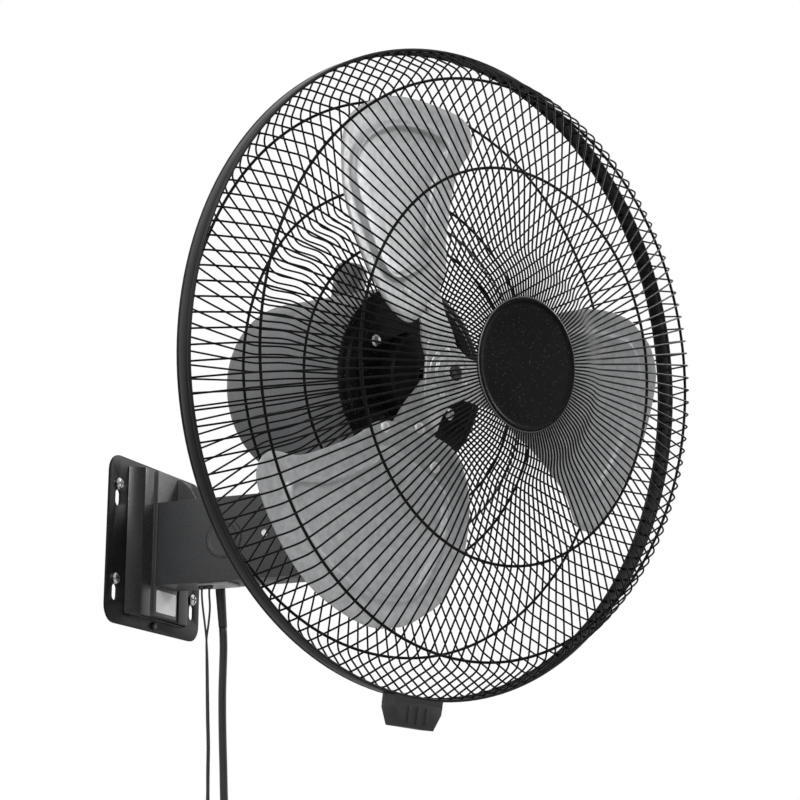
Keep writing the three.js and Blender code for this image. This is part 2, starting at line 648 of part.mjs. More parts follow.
function wires(profile, count, offset, side) {
  const turns = Array.from({ length: count }, (_, i) => (2 * Math.PI * (i + offset)) / count);
  return turns.map((turn) => radialWire(profile, turn, side));
}

function frontGuard() {
  const hoops = frontHoops.map((at) => hoop(at, 1));
  const body = wasm.Manifold.union([...hoops, ...wires(frontWire, wire.frontCount, 0.5, 1)]);
  place('front_guard', body, satinBlack, head);
  const capBody = turned('y', [[0, -cap.front], [cap.radius - 2.5, -cap.front], [cap.radius, 1.6 - cap.front],
    [cap.radius, -cap.back + 0.9], [cap.flangeRadius, -cap.back + 0.9],
    [cap.flangeRadius, -cap.back + 0.9 + cap.flange], [0, -cap.back + 0.9 + cap.flange]], 32);
  place('guard_cap', capBody, gloss, head);
}

function screwAngles() {
  return Array.from({ length: centrePlate.screwCount }, (_, i) => (
    (2 * Math.PI * (i + 0.5)) / centrePlate.screwCount + degrees(-70)));
}

// The wires end on the lip of a pressed plate that the motor's nose passes through.
function rearGuard() {
  const hoops = rearHoops.map((at) => hoop(at, -1));
  const { radius, thick, lip } = centrePlate;
  const front = -centrePlate.depth;
  const bore = nose.radius + seatGap;
  const disc = turned('y', [[bore, front], [radius, front], [radius, front + thick + 1],
    [radius - lip, front + thick + 1], [radius - lip, front + thick], [bore, front + thick]], 36);
  const holes = screwAngles().map((turn) => {
    const at = aboutAxis(centrePlate.screwCircle, turn, 0);
    return bar('y', guardScrew.shank + seatGap, front - 5, front + 10, [at.x, at.z], 12);
  });
  const body = wasm.Manifold.union([disc, ...hoops, ...wires(rearWire, wire.rearCount, 0, -1)]);
  place('rear_guard', cut(body, ...holes), satinBlack, head);
}

const guardScrew = { head: 5, headTall: 3, shank: 2.4 };

function guardScrews() {
  screwAngles().forEach((turn, i) => {
    const at = aboutAxis(centrePlate.screwCircle, turn, 0);
    const seat = -centrePlate.depth - seatGap;
    const body = panScrew(seat, seat + centrePlate.thick + seatGap, guardScrew.head, guardScrew.headTall,
      guardScrew.shank);
    place(`guard_screw_${i + 1}`, body, zinc, head).position.set(at.x, 0, at.z);
  });
}

function rimBand() {
  const inside = rim.radius - rim.sheet;
  const body = turned('y', [[inside, -rim.halfWide], [rim.radius, -rim.halfWide], [rim.radius, rim.halfWide],
    [inside, rim.halfWide]], 48);
  place('guard_rim_band', body, satinBlack, head);
}

const clipSeat = hookRadius + wire.radius + seatGap;

function guardClip() {
  const { halfWide, halfTip } = clip;
  const low = -clipSeat - clip.tall;
  const shoulder = -clipSeat - clip.shoulder;
  const outline = polygon([[-halfWide, -clipSeat - 0.9], [0, -clipSeat], [halfWide, -clipSeat - 0.9],
    [halfWide, shoulder], [halfTip, low], [-halfTip, low], [-halfWide, shoulder]]);
  const body = fromFront(outline, -clip.back, clip.front - clip.back);
  const ribs = clip.ribs.map((x) => (
    block(x - 1.5, x + 1.5, -clip.front - 1.2, -clip.front + 1, low + 3, shoulder + 3)));
  const screwZ = -clipSeat - clipScrew.belowSeat;
  const holeEnd = -clip.back - clipScrew.deep - 0.5;
  const hole = bar('y', clipScrew.shank + seatGap, holeEnd, -clip.back + 1, [0, screwZ], 12);
  place('guard_clip', cut(joined(body, ...ribs), hole), blackPlastic, head);
  const screwBody = panScrew(0, clipScrew.deep, clipScrew.head, clipScrew.headTall, clipScrew.shank);
  const mesh = place('clip_screw', screwBody, zinc, head);
  mesh.rotation.z = Math.PI;
  mesh.position.set(0, seatGap - clip.back, screwZ);
}

// ---------------------------------------------------------------- blades and hub

// The outline and bead loop are drawn as chord against span for blades whose tips sweep this radius.
const drawnTip = 223.1;
const bladeSize = (rim.radius - blade.tipGap) / drawnTip;
const bladeOutline = [[-0.7, 59.6], [-27.6, 75.3], [-40.8, 104.1], [-67.6, 145.4], [-92.6, 164.3],
  [-92.3, 185.4], [-68.3, 201.9], [-29, 217.9], [4.1, drawnTip], [42.9, 218], [65.4, 201.8], [77.1, 181.1],
  [83.5, 158.5], [80.7, 119.6], [62.2, 74.4], [34.4, 51]];
const beadLoop = [[-10, 92], [38, 88], [57, 108], [64, 150], [60, 178], [34, 197], [-15, 198], [-63, 174],
  [-40, 148], [-16, 110]];
const rootSpan = 50 * bladeSize;  // nearest that a blade comes to the fan axis

// Depth of the pressed blade surface at chord station u and span station w.
function bladeDepth(u, w) {
  const [across, out] = [u / bladeSize / 100, w / bladeSize / 100];
  return 3 + (24.9 - 2 * out) * across + 5.6 * (out - 1.3) + 11.5 * across * across;
}

// Even stations round a smooth closed loop through the given points.
function smoothLoop(points, steps) {
  const loop = new THREE.CatmullRomCurve3(points.map(([u, w]) => new THREE.Vector3(u, w, 0)), true);
  return Array.from({ length: steps }, (_, i) => {
    const p = loop.getPointAt(i / steps).multiplyScalar(bladeSize);
    return [p.x, p.y];
  });
}

// How far a loop lies from a centre, in a direction, found on its nearest side.
function reach(loop, centre, angle) {
  const [dx, dy] = [Math.cos(angle), Math.sin(angle)];
  let best = 0;
  loop.forEach(([ax, ay], i) => {
    const [bx, by] = loop[(i + 1) % loop.length];
    const [ex, ey] = [bx - ax, by - ay];
    const cross = dx * ey - dy * ex;
    if (Math.abs(cross) < 1e-9) return;
    const along = ((ax - centre[0]) * ey - (ay - centre[1]) * ex) / cross;
    const share = ((ax - centre[0]) * dy - (ay - centre[1]) * dx) / cross;
    if (along > 0 && share >= 0 && share <= 1) best = Math.max(best, along);
  });
  return best;
}

// A closed sheet between a front and a back skin; each skin is rows of [u, w, depth] and shares its faces.
function sheetBetween(front, back, rounds) {
  const points = [...front.flat(), ...back.flat()].flatMap(([u, w, depth]) => [-u, -depth, w]);
  const columns = front[0].length;
  const backStart = front.length * columns;
  const faces = [];
  const quad = (a, b, c, d) => faces.push(a, b, c, b, d, c);
  for (let r = 0; r + 1 < front.length; r += 1) {
    for (let k = 0; k < (rounds ? columns : columns - 1); k += 1) {
      const [a, b] = [r * columns + k, r * columns + ((k + 1) % columns)];
      quad(a, b, a + columns, b + columns);
      quad(backStart + b, backStart + a, backStart + b + columns, backStart + a + columns);
    }
  }
  return { points, faces, columns, backStart, quad };
}

const bladeCentre = [4 * bladeSize, 147 * bladeSize];

// The blade: rings of points inward from the outline over the raised bead to the middle.
function bladeSheet() {
  const outline = smoothLoop(bladeOutline, blade.outlineSteps);
  const bead = smoothLoop(beadLoop, 2 * blade.outlineSteps);
  const rays = outline.map(([u, w]) => {
    const angle = Math.atan2(w - bladeCentre[1], u - bladeCentre[0]);
    const crest = reach(bead, bladeCentre, angle);
    const edge = Math.hypot(u - bladeCentre[0], w - bladeCentre[1]);
    return { angle, stations: [[edge, 0], [crest + blade.bead, 0], [crest, blade.beadTall],
      [crest - blade.bead, 0], [0, 0]] };
  });
  const skin = (offset) => rays[0].stations.map((_, row) => rays.map(({ angle, stations }) => {
    const [out, raise] = stations[row];
    const u = bladeCentre[0] + out * Math.cos(angle);
    const w = bladeCentre[1] + out * Math.sin(angle);
    return [u, w, bladeDepth(u, w) + offset + raise];
  }));
  const [front, back] = [skin(blade.sheet / 2), skin(-blade.sheet / 2)];
  const { points, faces, columns, backStart, quad } = sheetBetween(front, back, true);
  for (let k = 0; k < columns; k += 1) {
    const next = (k + 1) % columns;
    quad(next, k, backStart + next, backStart + k);
  }
  return solidFrom(points, faces);
}

function bladeTurn(i) {
  const angle = blade.firstAngle + (360 * i) / blade.count;
  return degrees(90 - angle);
}

function blades() {
  const body = bladeSheet();
  for (let i = 0; i < blade.count; i += 1) {
    place(`blade_${i + 1}`, body, aluminium, head).rotation.y = bladeTurn(i);
  }
}

// A pressed arm of the hub: flat at the disc, then twisted to lie behind its blade.
function hubArm() {
  const lift = -(blade.sheet + hub.sheet) / 2 - seatGap;
  const flatDepth = hub.front - hub.thick / 2;
  const start = 0.7 * hub.radius;
  const snip = 8;                 // how far the arm's end corners are cut back
  const stations = [start, 0.95 * hub.radius, (hub.radius + rootSpan) / 2, rootSpan,
    (rootSpan + hub.armEnd) / 2, hub.armEnd - snip, hub.armEnd];
  const widths = stations.map((w) => (w === hub.armEnd ? hub.armHalf - snip : hub.armHalf));
  const skin = (offset) => stations.map((w, i) => [-1, 0, 1].map((side) => {
    const u = side * widths[i];
    const blend = THREE.MathUtils.smoothstep(w, 0.9 * hub.radius, rootSpan);
    return [u, w, THREE.MathUtils.lerp(flatDepth, bladeDepth(u, w) + lift, blend) + offset];
  }));
  const [front, back] = [skin(hub.sheet / 2), skin(-hub.sheet / 2)];
  const { points, faces, columns, backStart, quad } = sheetBetween(front, back, false);
  const last = (stations.length - 1) * columns;
  for (let k = 0; k + 1 < columns; k += 1) {
    quad(k + 1, k, backStart + k + 1, backStart + k);
    quad(last + k, last + k + 1, backStart + last + k, backStart + last + k + 1);
  }
  for (let r = 0; r + 1 < stations.length; r += 1) {
    const [a, b] = [r * columns, (r + 1) * columns];
    quad(a, b, backStart + a, backStart + b);
    quad(b + columns - 1, a + columns - 1, backStart + b + columns - 1, backStart + a + columns - 1);
  }
  return solidFrom(points, faces);
}

const nutSeat = hub.front + hub.bossTall;

function hubAndNut() {
  const arms = Array.from({ length: blade.count }, (_, i) => (
    hubArm().rotate([0, THREE.MathUtils.radToDeg(bladeTurn(i)), 0])));
  const disc = turned('y', [[0, -nutSeat], [hub.bossRadius - 1, -nutSeat], [hub.bossRadius, -hub.front],
    [hub.radius, -hub.front], [hub.radius, hub.thick - hub.front], [0, hub.thick - hub.front]], 24);
  const fit = runningBore(shaft.radius, 24);
  const bore = bar('y', fit, -nutSeat - 1, hub.thick - hub.front + 1, [0, 0], 24);
  place('blade_hub', cut(joined(disc, ...arms), bore), steel, head);
  const face = -nutSeat - seatGap;
  const nut = cut(bar('y', shaft.radius + shaftNut.wall, face - shaftNut.tall, face, [0, 0], 6),
    bar('y', fit, face - shaftNut.tall - 1, face + 1, [0, 0], 24));
  place('hub_nut', nut, zinc, head);
}

// ---------------------------------------------------------------- cords

const point = ([x, y, z]) => new THREE.Vector3(x, y, z);

function cordTube(points, radius, sides, steps) {
  const path = new THREE.CatmullRomCurve3(points.map(point), false, 'centripetal');
  const geometry = new THREE.ExtrudeGeometry(tubeSection(radius, sides), { steps, bevelEnabled: false,
    extrudePath: path });
  return solid(geometry);
}

const reliefTop = arm.zLow - seatGap;
const reliefLean = new THREE.Vector3(2, -2.4, -relief.long).normalize();
// The leaning flange drops until its high edge clears the arm's floor.
const reliefSeat = reliefTop - relief.radius * Math.hypot(reliefLean.x, reliefLean.y);
const reliefFoot = point([leadSpot[0], leadSpot[1], reliefSeat]);
const leadStart = reliefFoot.addScaledVector(reliefLean, relief.long + seatGap);
const coilCentre = [55, -67, -302];
const outerRadius = coil.middleRadius + (coil.turns / coil.layers) * coil.pitch / 2;
const coilTop = coilCentre[2] + outerRadius;
const coilStart = coilCentre[0] - coil.leadIn;

const leadRoute = [
  [leadStart.x, leadStart.y, leadStart.z],
  [15.6, -63, -84], [15.6, -63, -104], [15.4, -63, -124], [15.4, -63.6, -146], [15.6, -64.5, -168],
  [15.8, -65.6, -190], [16, -66.6, -212], [16.5, -67, coilTop + 36], [19, -67, coilTop + 20],
  [26, -67, coilTop + 7], [36, -67, coilTop + 0.8], [coilStart - seatGap, -67, coilTop],
];

function strainRelief() {
  const stem = relief.stem;
  const profile = [[0, armFloor - 0.4], [stem, armFloor - 0.4], [stem, reliefTop], [relief.radius, reliefTop],
    [relief.radius, reliefTop - relief.shoulder], [relief.tipRadius, reliefTop - relief.long],
    [0, reliefTop - relief.long]];
  const body = turned('z', profile.map(([r, z]) => [r, z - reliefTop]), 20);
  const mesh = place('strain_relief', body, blackPlastic);
  mesh.position.set(leadSpot[0], leadSpot[1], reliefSeat);
  mesh.quaternion.setFromUnitVectors(new THREE.Vector3(0, 0, -1), reliefLean);
}

// The stored lead: one tube that spirals in and out in layers and climbs where the spiral reverses.
function coilPoint(t) {
  const perLayer = coil.turns / coil.layers;
  const layer = Math.min(Math.floor(t / perLayer), coil.layers - 1);
  const within = t - layer * perLayer;
  const swept = layer % 2 === 0 ? within : perLayer - within;
  const radius = outerRadius - coil.pitch * swept;
  let climb = 0;
  for (let k = 1; k < coil.layers; k += 1) {
    climb += THREE.MathUtils.smoothstep(t, k * perLayer - 0.25, k * perLayer + 0.25);
  }
  const turn = Math.PI / 2 - 2 * Math.PI * t;
  return new THREE.Vector3(coilCentre[0] + radius * Math.cos(turn), coilCentre[1] + coil.pitch * climb,
    coilCentre[2] + radius * Math.sin(turn));
}

function coilPath() {
  const count = Math.round(coil.turns * coil.stepsPerTurn);
  const loops = Array.from({ length: count + 1 }, (_, i) => coilPoint((coil.turns * i) / count));
  const end = loops[loops.length - 1];
  const start = point([coilStart, coilCentre[1], coilTop]);
  return [start, ...loops, new THREE.Vector3(end.x, end.y, end.z - coil.tail)];
}

// Least distance between the surfaces of two stretches of the coil that are not neighbours.
function leastSelfGap(points, radius) {
  let least = Infinity;
  for (let i = 0; i < points.length; i += 1) {
    for (let j = i + coil.stepsPerTurn / 2; j < points.length; j += 1) {
      least = Math.min(least, points[i].distanceTo(points[j]));
    }
  }
  return least - 2 * radius;
}

const coilPoints = coilPath();
const coilEnd = coilPoints[coilPoints.length - 1];

function powerLead() {
  strainRelief();
  place('power_cord', cordTube(leadRoute, lead.radius, lead.sides, lead.steps), cordJacket);
  place('power_cord_coil', wireThrough(coilPoints, lead.radius, coil.sides), cordJacket);
  console.log('least gap of the coil to itself, mm:', leastSelfGap(coilPoints, lead.radius).toFixed(2));
}

// A band round all the turns, at the coil's foot.
function coilTie() {
  const [x, y, z] = coilCentre;
  const half = 4;
  const inner = { low: -outerRadius - lead.radius - 0.9,
    high: -outerRadius + coil.pitch * (coil.turns / coil.layers) + lead.radius + 0.9,
    back: (coil.layers - 1) * coil.pitch + lead.radius + 0.6, front: -lead.radius - 0.6 };
  const wall = 1.4;
  const { front, back, low, high } = inner;
  const outerBand = block(-half, half, front - wall, back + wall, low - wall, high + wall);
  const hollow = block(-half - 1, half + 1, front, back, low, high);
  place('cord_tie', cut(outerBand, hollow), blackPlastic).position.set(x, y, z);
}

function plugAndPins() {
  const top = coilEnd.z - seatGap;
  const shape = roundedRectangle(-plug.wide / 2, plug.wide / 2, -plug.deep / 2, plug.deep / 2, plug.corner);
  const low = top - plug.long;
  const { neckTall, neckTop, neckFoot } = plug;
  const neckCone = new THREE.CylinderGeometry(neckTop, neckFoot, neckTall, 20).rotateX(Math.PI / 2);
  const neckBody = solid(neckCone.translate(0, 0, top - neckTall / 2));
  const body = joined(fromAbove(shape, low, top - 0.8 * neckTall), neckBody);
  place('plug_body', body, blackPlastic).position.set(coilEnd.x, coilEnd.y, 0);
  [-1, 1].forEach((side) => {
    const x = (side * plug.pinSpacing) / 2;
    const pin = block(x - plug.pinThick / 2, x + plug.pinThick / 2, -plug.pinWide / 2, plug.pinWide / 2,
      low - seatGap - plug.pinLong, low - seatGap);
    place(side < 0 ? 'plug_pin_left' : 'plug_pin_right', pin, brass).position.set(coilEnd.x, coilEnd.y, 0);
  });
}

const cordTop = armFloor + 0.2;
const pullRoutes = {
  speed: [[-12, -56, cordTop], [-12, -56, -44], [-12, -57.4, -56], [-11.6, -59.2, -68], [-10.9, -60.9, -82],
    [-10.7, -62.3, -99], [-10.7, -63.6, -124], [-10.7, -64.9, -151], [-10.7, -66, -172], [-10.7, -66.3, -193],
    [-10.7, -66.8, -215], [-9, -67, -235], [-6.6, -67, -252], [-6, -67, -262], [-6, -67, -270]],
  swing: [[-12, -63.2, cordTop], [-12, -63.2, -44], [-12.2, -64.3, -56], [-12.6, -63.6, -70],
    [-13.1, -62.4, -82], [-13.3, -62.9, -99], [-13.3, -63.8, -124], [-13.3, -64.9, -151], [-13.3, -66, -172],
    [-13.3, -66.3, -193], [-13.3, -66.8, -215], [-15, -67, -238], [-18, -67, -262], [-19, -67, -284],
    [-19, -67, -292]],
};

function pullCords() {
  for (const [name, route] of Object.entries(pullRoutes)) {
    place(`pull_cord_${name}`, cordTube(route, pullCord.radius, pullCord.sides, pullCord.steps), cordJacket);
    const [x, y, z] = route[route.length - 1];
    const top = -seatGap;
    const low = top - knob.tall;
    const body = turned('z', [[0, top], [knob.tip, top], [0.75 * knob.radius, top - knob.taper],
      [knob.radius, low + knob.taper], [0.8 * knob.radius, low], [0, low]], 20);
    place(`pull_knob_${name}`, body, blackPlastic).position.set(x, y, z);
  }
}

// ---------------------------------------------------------------- assembly

wallPlate();
plateScrews();
bracketChannel();
armSlide();
lockingScrew();
armHousing();
armTrim();
armInside();
pullBushings();
tiltBolt();
neckBracket();
gearHousing();
swingDrive();
motorCover();
motorInside();
rearGuard();
guardScrews();
rimBand();
frontGuard();
guardClip();
blades();
hubAndNut();
powerLead();
coilTie();
plugAndPins();
pullCords();

export default fan;
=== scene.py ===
import json
import math

import bmesh
import bpy
import numpy as np
from mathutils import Matrix, Vector


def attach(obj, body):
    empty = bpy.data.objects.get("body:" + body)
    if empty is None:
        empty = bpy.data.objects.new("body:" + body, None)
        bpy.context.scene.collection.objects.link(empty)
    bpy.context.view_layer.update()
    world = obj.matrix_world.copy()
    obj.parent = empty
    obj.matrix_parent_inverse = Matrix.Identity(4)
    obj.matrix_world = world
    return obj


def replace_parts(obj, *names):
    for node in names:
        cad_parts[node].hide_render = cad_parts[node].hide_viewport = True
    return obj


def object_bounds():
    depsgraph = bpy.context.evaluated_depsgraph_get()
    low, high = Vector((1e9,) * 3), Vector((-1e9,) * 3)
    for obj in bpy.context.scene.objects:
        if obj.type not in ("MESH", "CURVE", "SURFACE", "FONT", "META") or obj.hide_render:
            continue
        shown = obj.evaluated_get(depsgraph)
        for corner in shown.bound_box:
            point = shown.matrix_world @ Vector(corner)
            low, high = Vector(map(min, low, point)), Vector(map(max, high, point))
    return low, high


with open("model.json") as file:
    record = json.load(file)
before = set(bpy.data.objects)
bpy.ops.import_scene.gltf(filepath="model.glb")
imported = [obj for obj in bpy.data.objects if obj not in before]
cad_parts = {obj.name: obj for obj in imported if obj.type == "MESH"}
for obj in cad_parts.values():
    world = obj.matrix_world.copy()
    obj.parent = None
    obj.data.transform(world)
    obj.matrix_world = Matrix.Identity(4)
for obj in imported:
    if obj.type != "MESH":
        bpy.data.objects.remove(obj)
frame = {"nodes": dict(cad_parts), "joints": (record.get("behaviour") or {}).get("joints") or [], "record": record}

CAD_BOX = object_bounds()
MM = 0.001

# -------------------------------- places taken from the frame

JOINTS = {joint["name"]: joint for joint in frame["joints"]}
FORWARD = Vector(JOINTS["blade_spin"]["axis"]).normalized()
HEAD_UP = Vector(JOINTS["swing"]["axis"]).normalized()
HEAD_SIDE = HEAD_UP.cross(FORWARD).normalized()
RIM_CENTRE = Vector(JOINTS["blade_spin"]["pos_m"])


def head_matrix():
    """Head frame to row frame: x across, y backwards along the fan axis, z up, from the rim's centre."""
    axes = Matrix((HEAD_SIDE, -FORWARD, HEAD_UP)).transposed()
    return Matrix.Translation(RIM_CENTRE) @ axes.to_4x4()


HEAD = head_matrix()
HEAD_NP = np.array(HEAD)


def to_row(points):
    """Points in millimetres in the head frame, as metres in the row frame."""
    points = np.asarray(points, float) * MM
    return points @ HEAD_NP[:3, :3].T + HEAD_NP[:3, 3]


def polar(radius, turn, depth):
    """A point of the head, in millimetres, at a radius and turn round the fan axis and a depth forward."""
    return (radius * math.cos(turn), -depth, radius * math.sin(turn))


# -------------------------------- camera

AIM = Vector((-0.17956, -0.31406, 0.05974))
AZIMUTH = math.radians(-66.39)
ELEVATION = math.radians(-14.85)
DISTANCE = 1.4148
PICTURE_WIDTH = 800.0             # in pixels
FOCAL = 1915.0                    # in the same pixels
SENSOR = 36.0                     # in millimetres
FAR_CLIP = 50


def add_camera():
    data = bpy.data.cameras.new("camera")
    data.sensor_width = SENSOR
    data.lens = FOCAL * SENSOR / PICTURE_WIDTH
    data.clip_end = FAR_CLIP
    camera = bpy.data.objects.new("camera", data)
    back = Vector((math.sin(AZIMUTH) * math.cos(ELEVATION), -math.cos(AZIMUTH) * math.cos(ELEVATION),
                   math.sin(ELEVATION)))
    right = Vector((math.cos(AZIMUTH), math.sin(AZIMUTH), 0))
    axes = Matrix((right, back.cross(right), back)).transposed().to_4x4()
    camera.matrix_world = Matrix.Translation(AIM + back * DISTANCE) @ axes
    bpy.context.collection.objects.link(camera)
    bpy.context.scene.camera = camera


add_camera()

# -------------------------------- mesh helpers


def mesh_piece(name, verts, faces, material, smooth=True):
    mesh = bpy.data.meshes.new(name)
    mesh.from_pydata([tuple(v) for v in verts], [], [tuple(f) for f in faces])
    mesh.materials.append(material)
    mesh.update()
    if smooth:
        mesh.polygons.foreach_set("use_smooth", [True] * len(mesh.polygons))
    piece = bpy.data.objects.new(name, mesh)
    bpy.context.collection.objects.link(piece)
    return piece


def full_turn(steps):
    return np.arange(steps) * 2 * math.pi / steps


def band(low, high, steps):
    """Faces between two rings of vertices, each given by its first vertex."""
    return [(low + k, low + (k + 1) % steps, high + (k + 1) % steps, high + k) for k in range(steps)]


def fan(first, tip, steps):
    """Faces from a ring of vertices to one vertex."""
    return [(first + k, first + (k + 1) % steps, tip) for k in range(steps)]


def joined(near, far):
    """Two outlines of the same number of points, joined by faces and closed at both ends."""
    count = len(near)
    faces = [tuple(range(count)), tuple(range(count, 2 * count))[::-1]] + band(0, count, count)
    return np.array([*near, *far], float), faces


def extruded(outline, near, far):
    """An outline of (x, z) points carried along y from near to far."""
    return joined([(x, near, z) for x, z in outline], [(x, far, z) for x, z in outline])


def stacked(rings, tip):
    """Rings of the same number of points, joined in their order, from a flat foot to a tip."""
    steps = len(rings[0])
    verts = [point for ring in rings for point in ring] + [tip]
    starts = range(0, len(verts) - 1, steps)
    faces = [face for low, high in zip(starts, starts[1:]) for face in band(low, high, steps)]
    faces += fan(starts[-1], len(verts) - 1, steps)
    faces.append(tuple(range(steps))[::-1])
    return np.array(verts), faces


def frames_along(path, closed):
    """A tangent, normal and binormal at each point, carried along without twist."""
    path = np.asarray(path, float)
    if closed:
        tangents = np.roll(path, -1, 0) - np.roll(path, 1, 0)
    else:
        tangents = np.gradient(path, axis=0)
    tangents /= np.linalg.norm(tangents, axis=1)[:, None]
    nearly_upright = abs(tangents[0][2]) > 0.9
    seed = np.array([1.0, 0, 0] if nearly_upright else [0, 0, 1.0])
    normal = np.cross(tangents[0], seed)
    normals = []
    for tangent in tangents:
        normal = normal - tangent * np.dot(normal, tangent)
        normal /= np.linalg.norm(normal)
        normals.append(normal)
    normals = np.array(normals)
    return tangents, normals, np.cross(tangents, normals)


def tube(path, radius, sides, closed=False):
    """Vertices and faces of a round tube along the path."""
    path = np.asarray(path, float)
    count = len(path)
    _, normals, binormals = frames_along(path, closed)
    turns = full_turn(sides)
    ring = np.cos(turns)[None, :, None] * normals[:, None] + np.sin(turns)[None, :, None] * binormals[:, None]
    verts = (path[:, None] + ring * radius).reshape(-1, 3)
    faces = []
    for i in range(count if closed else count - 1):
        faces += band(i * sides, (i + 1) % count * sides, sides)
    if not closed:
        faces.append(tuple(range(sides))[::-1])
        faces.append(tuple(range((count - 1) * sides, count * sides)))
    return verts, faces


def merged(parts):
    """Several (vertices, faces) as one."""
    verts, faces, start = [], [], 0
    for part_verts, part_faces in parts:
        verts.append(np.asarray(part_verts, float))
        faces += [tuple(i + start for i in face) for face in part_faces]
        start += len(part_verts)
    return np.concatenate(verts), faces


def smooth_route(points, spacing):
    """Points on a centripetal spline through the given ones, about spacing apart."""
    points = [np.asarray(p, float) for p in points]
    points = [2 * points[0] - points[1]] + points + [2 * points[-1] - points[-2]]
    out = []
    for p0, p1, p2, p3 in zip(points, points[1:], points[2:], points[3:]):
        t0 = 0.0
        t1 = t0 + np.linalg.norm(p1 - p0) ** 0.5
        t2 = t1 + np.linalg.norm(p2 - p1) ** 0.5
        t3 = t2 + np.linalg.norm(p3 - p2) ** 0.5
        steps = max(2, int(round(np.linalg.norm(p2 - p1) / spacing)))
        for t in np.linspace(t1, t2, steps, endpoint=False):
            a1 = (t1 - t) / (t1 - t0) * p0 + (t - t0) / (t1 - t0) * p1
            a2 = (t2 - t) / (t2 - t1) * p1 + (t - t1) / (t2 - t1) * p2
            a3 = (t3 - t) / (t3 - t2) * p2 + (t - t2) / (t3 - t2) * p3
            b1 = (t2 - t) / (t2 - t0) * a1 + (t - t0) / (t2 - t0) * a2
            b2 = (t3 - t) / (t3 - t1) * a2 + (t - t1) / (t3 - t1) * a3
            out.append((t2 - t) / (t2 - t1) * b1 + (t - t1) / (t2 - t1) * b2)
    out.append(points[-2])
    return np.array(out)


# -------------------------------- materials


MIX_FIRST, MIX_SECOND, MIX_COLOR = 6, 7, 2      # the mix node's colour sockets


class Nodes:
    """Builds one procedural material."""

    def __init__(self, name, base, roughness, metallic=0.0, **sockets):
        self.material = bpy.data.materials.new(name)
        self.material.use_nodes = True
        self.tree = self.material.node_tree
        self.shader = self.tree.nodes["Principled BSDF"]
        self.shader.inputs["Base Color"].default_value = (*base, 1)
        self.shader.inputs["Roughness"].default_value = roughness
        self.shader.inputs["Metallic"].default_value = metallic
        for socket, value in sockets.items():
            self.shader.inputs[socket.replace("_", " ")].default_value = value
        self.where = self.add("ShaderNodeTexCoord").outputs["Object"]

    def add(self, kind, **values):
        node = self.tree.nodes.new(kind)
        for key, value in values.items():
            setattr(node, key, value)
        return node

    def link(self, source, target):
        self.tree.links.new(source, target)

    def noise(self, scale, detail=3.0, stretch=(1, 1, 1)):
        place = self.add("ShaderNodeMapping")
        place.inputs["Scale"].default_value = stretch
        self.link(self.where, place.inputs["Vector"])
        node = self.add("ShaderNodeTexNoise")
        node.inputs["Scale"].default_value = scale
        node.inputs["Detail"].default_value = detail
        self.link(place.outputs["Vector"], node.inputs["Vector"])
        return node.outputs["Fac"]

    def ramp(self, value, start=0.0, end=1.0, low=0.3, high=0.7):
        """The value's range from low to high, spread from start to end."""
        node = self.add("ShaderNodeMapRange")
        node.inputs["From Min"].default_value = low
        node.inputs["From Max"].default_value = high
        node.inputs["To Min"].default_value = start
        node.inputs["To Max"].default_value = end
        self.link(value, node.inputs["Value"])
        return node.outputs["Result"]

    def mix(self, factor, first, second):
        node = self.add("ShaderNodeMix", data_type="RGBA")
        self.link(factor, node.inputs[0])
        for index, color in ((MIX_FIRST, first), (MIX_SECOND, second)):
            if isinstance(color, tuple):
                node.inputs[index].default_value = (*color, 1)
            else:
                self.link(color, node.inputs[index])
        return node.outputs[MIX_COLOR]

    def color(self, source):
        self.link(source, self.shader.inputs["Base Color"])

    def rough(self, source):
        self.link(source, self.shader.inputs["Roughness"])

    def bump(self, height, strength, distance):
        node = self.add("ShaderNodeBump")
        node.inputs["Strength"].default_value = strength
        node.inputs["Distance"].default_value = distance
        self.link(height, node.inputs["Height"])
        self.link(node.outputs["Normal"], self.shader.inputs["Normal"])


DUST = (0.35, 0.36, 0.37)
# Noise scales in cells a metre, and heights of relief in metres.
COAT = {"tone": 14.0, "mottle": 850.0, "dust": 900.0, "sheen": 60.0, "relief": 0.0002}
MOULDED = {"tone": 30.0, "sheen": 120.0, "relief": 0.0001}
METAL = {"tone": 180.0, "sheen": 400.0, "grain": 1500.0, "relief": 0.0001}


def shade(base, gain, lift=0.0):
    return tuple(min(1.0, c * gain + lift) for c in base)


def powder_coat(name, base, roughness, grain, speck=0.0, shine=0.5, peel=0.25, mottle=0.0):
    """Painted metal with orange peel and slow tone changes; speck is pale dust, mottle a fine texture."""
    made = Nodes(name, base, roughness, Specular_IOR_Level=shine)
    tone = made.mix(made.ramp(made.noise(COAT["tone"])), base, shade(base, 1.35, 0.004))
    if mottle:
        patches = made.ramp(made.noise(COAT["mottle"]), 0.0, mottle, 0.42, 0.62)
        tone = made.mix(patches, tone, shade(base, 2.4))
    if speck:
        dots = made.ramp(made.noise(COAT["dust"], 1.0), 0.0, speck, 0.69, 0.74)
        tone = made.mix(dots, tone, DUST)
    made.color(tone)
    made.rough(made.ramp(made.noise(COAT["sheen"]), roughness * 0.85, roughness * 1.2))
    made.bump(made.noise(grain, 2.0), peel, COAT["relief"])
    return made.material


def plastic(name, base, roughness, grain=2200.0):
    made = Nodes(name, base, roughness)
    tone = made.ramp(made.noise(MOULDED["tone"]), low=0.35, high=0.65)
    made.color(made.mix(tone, base, shade(base, 1.3, 0.003)))
    made.rough(made.ramp(made.noise(MOULDED["sheen"]), roughness * 0.88, roughness * 1.12))
    made.bump(made.noise(grain, 1.0), 0.2, MOULDED["relief"])
    return made.material


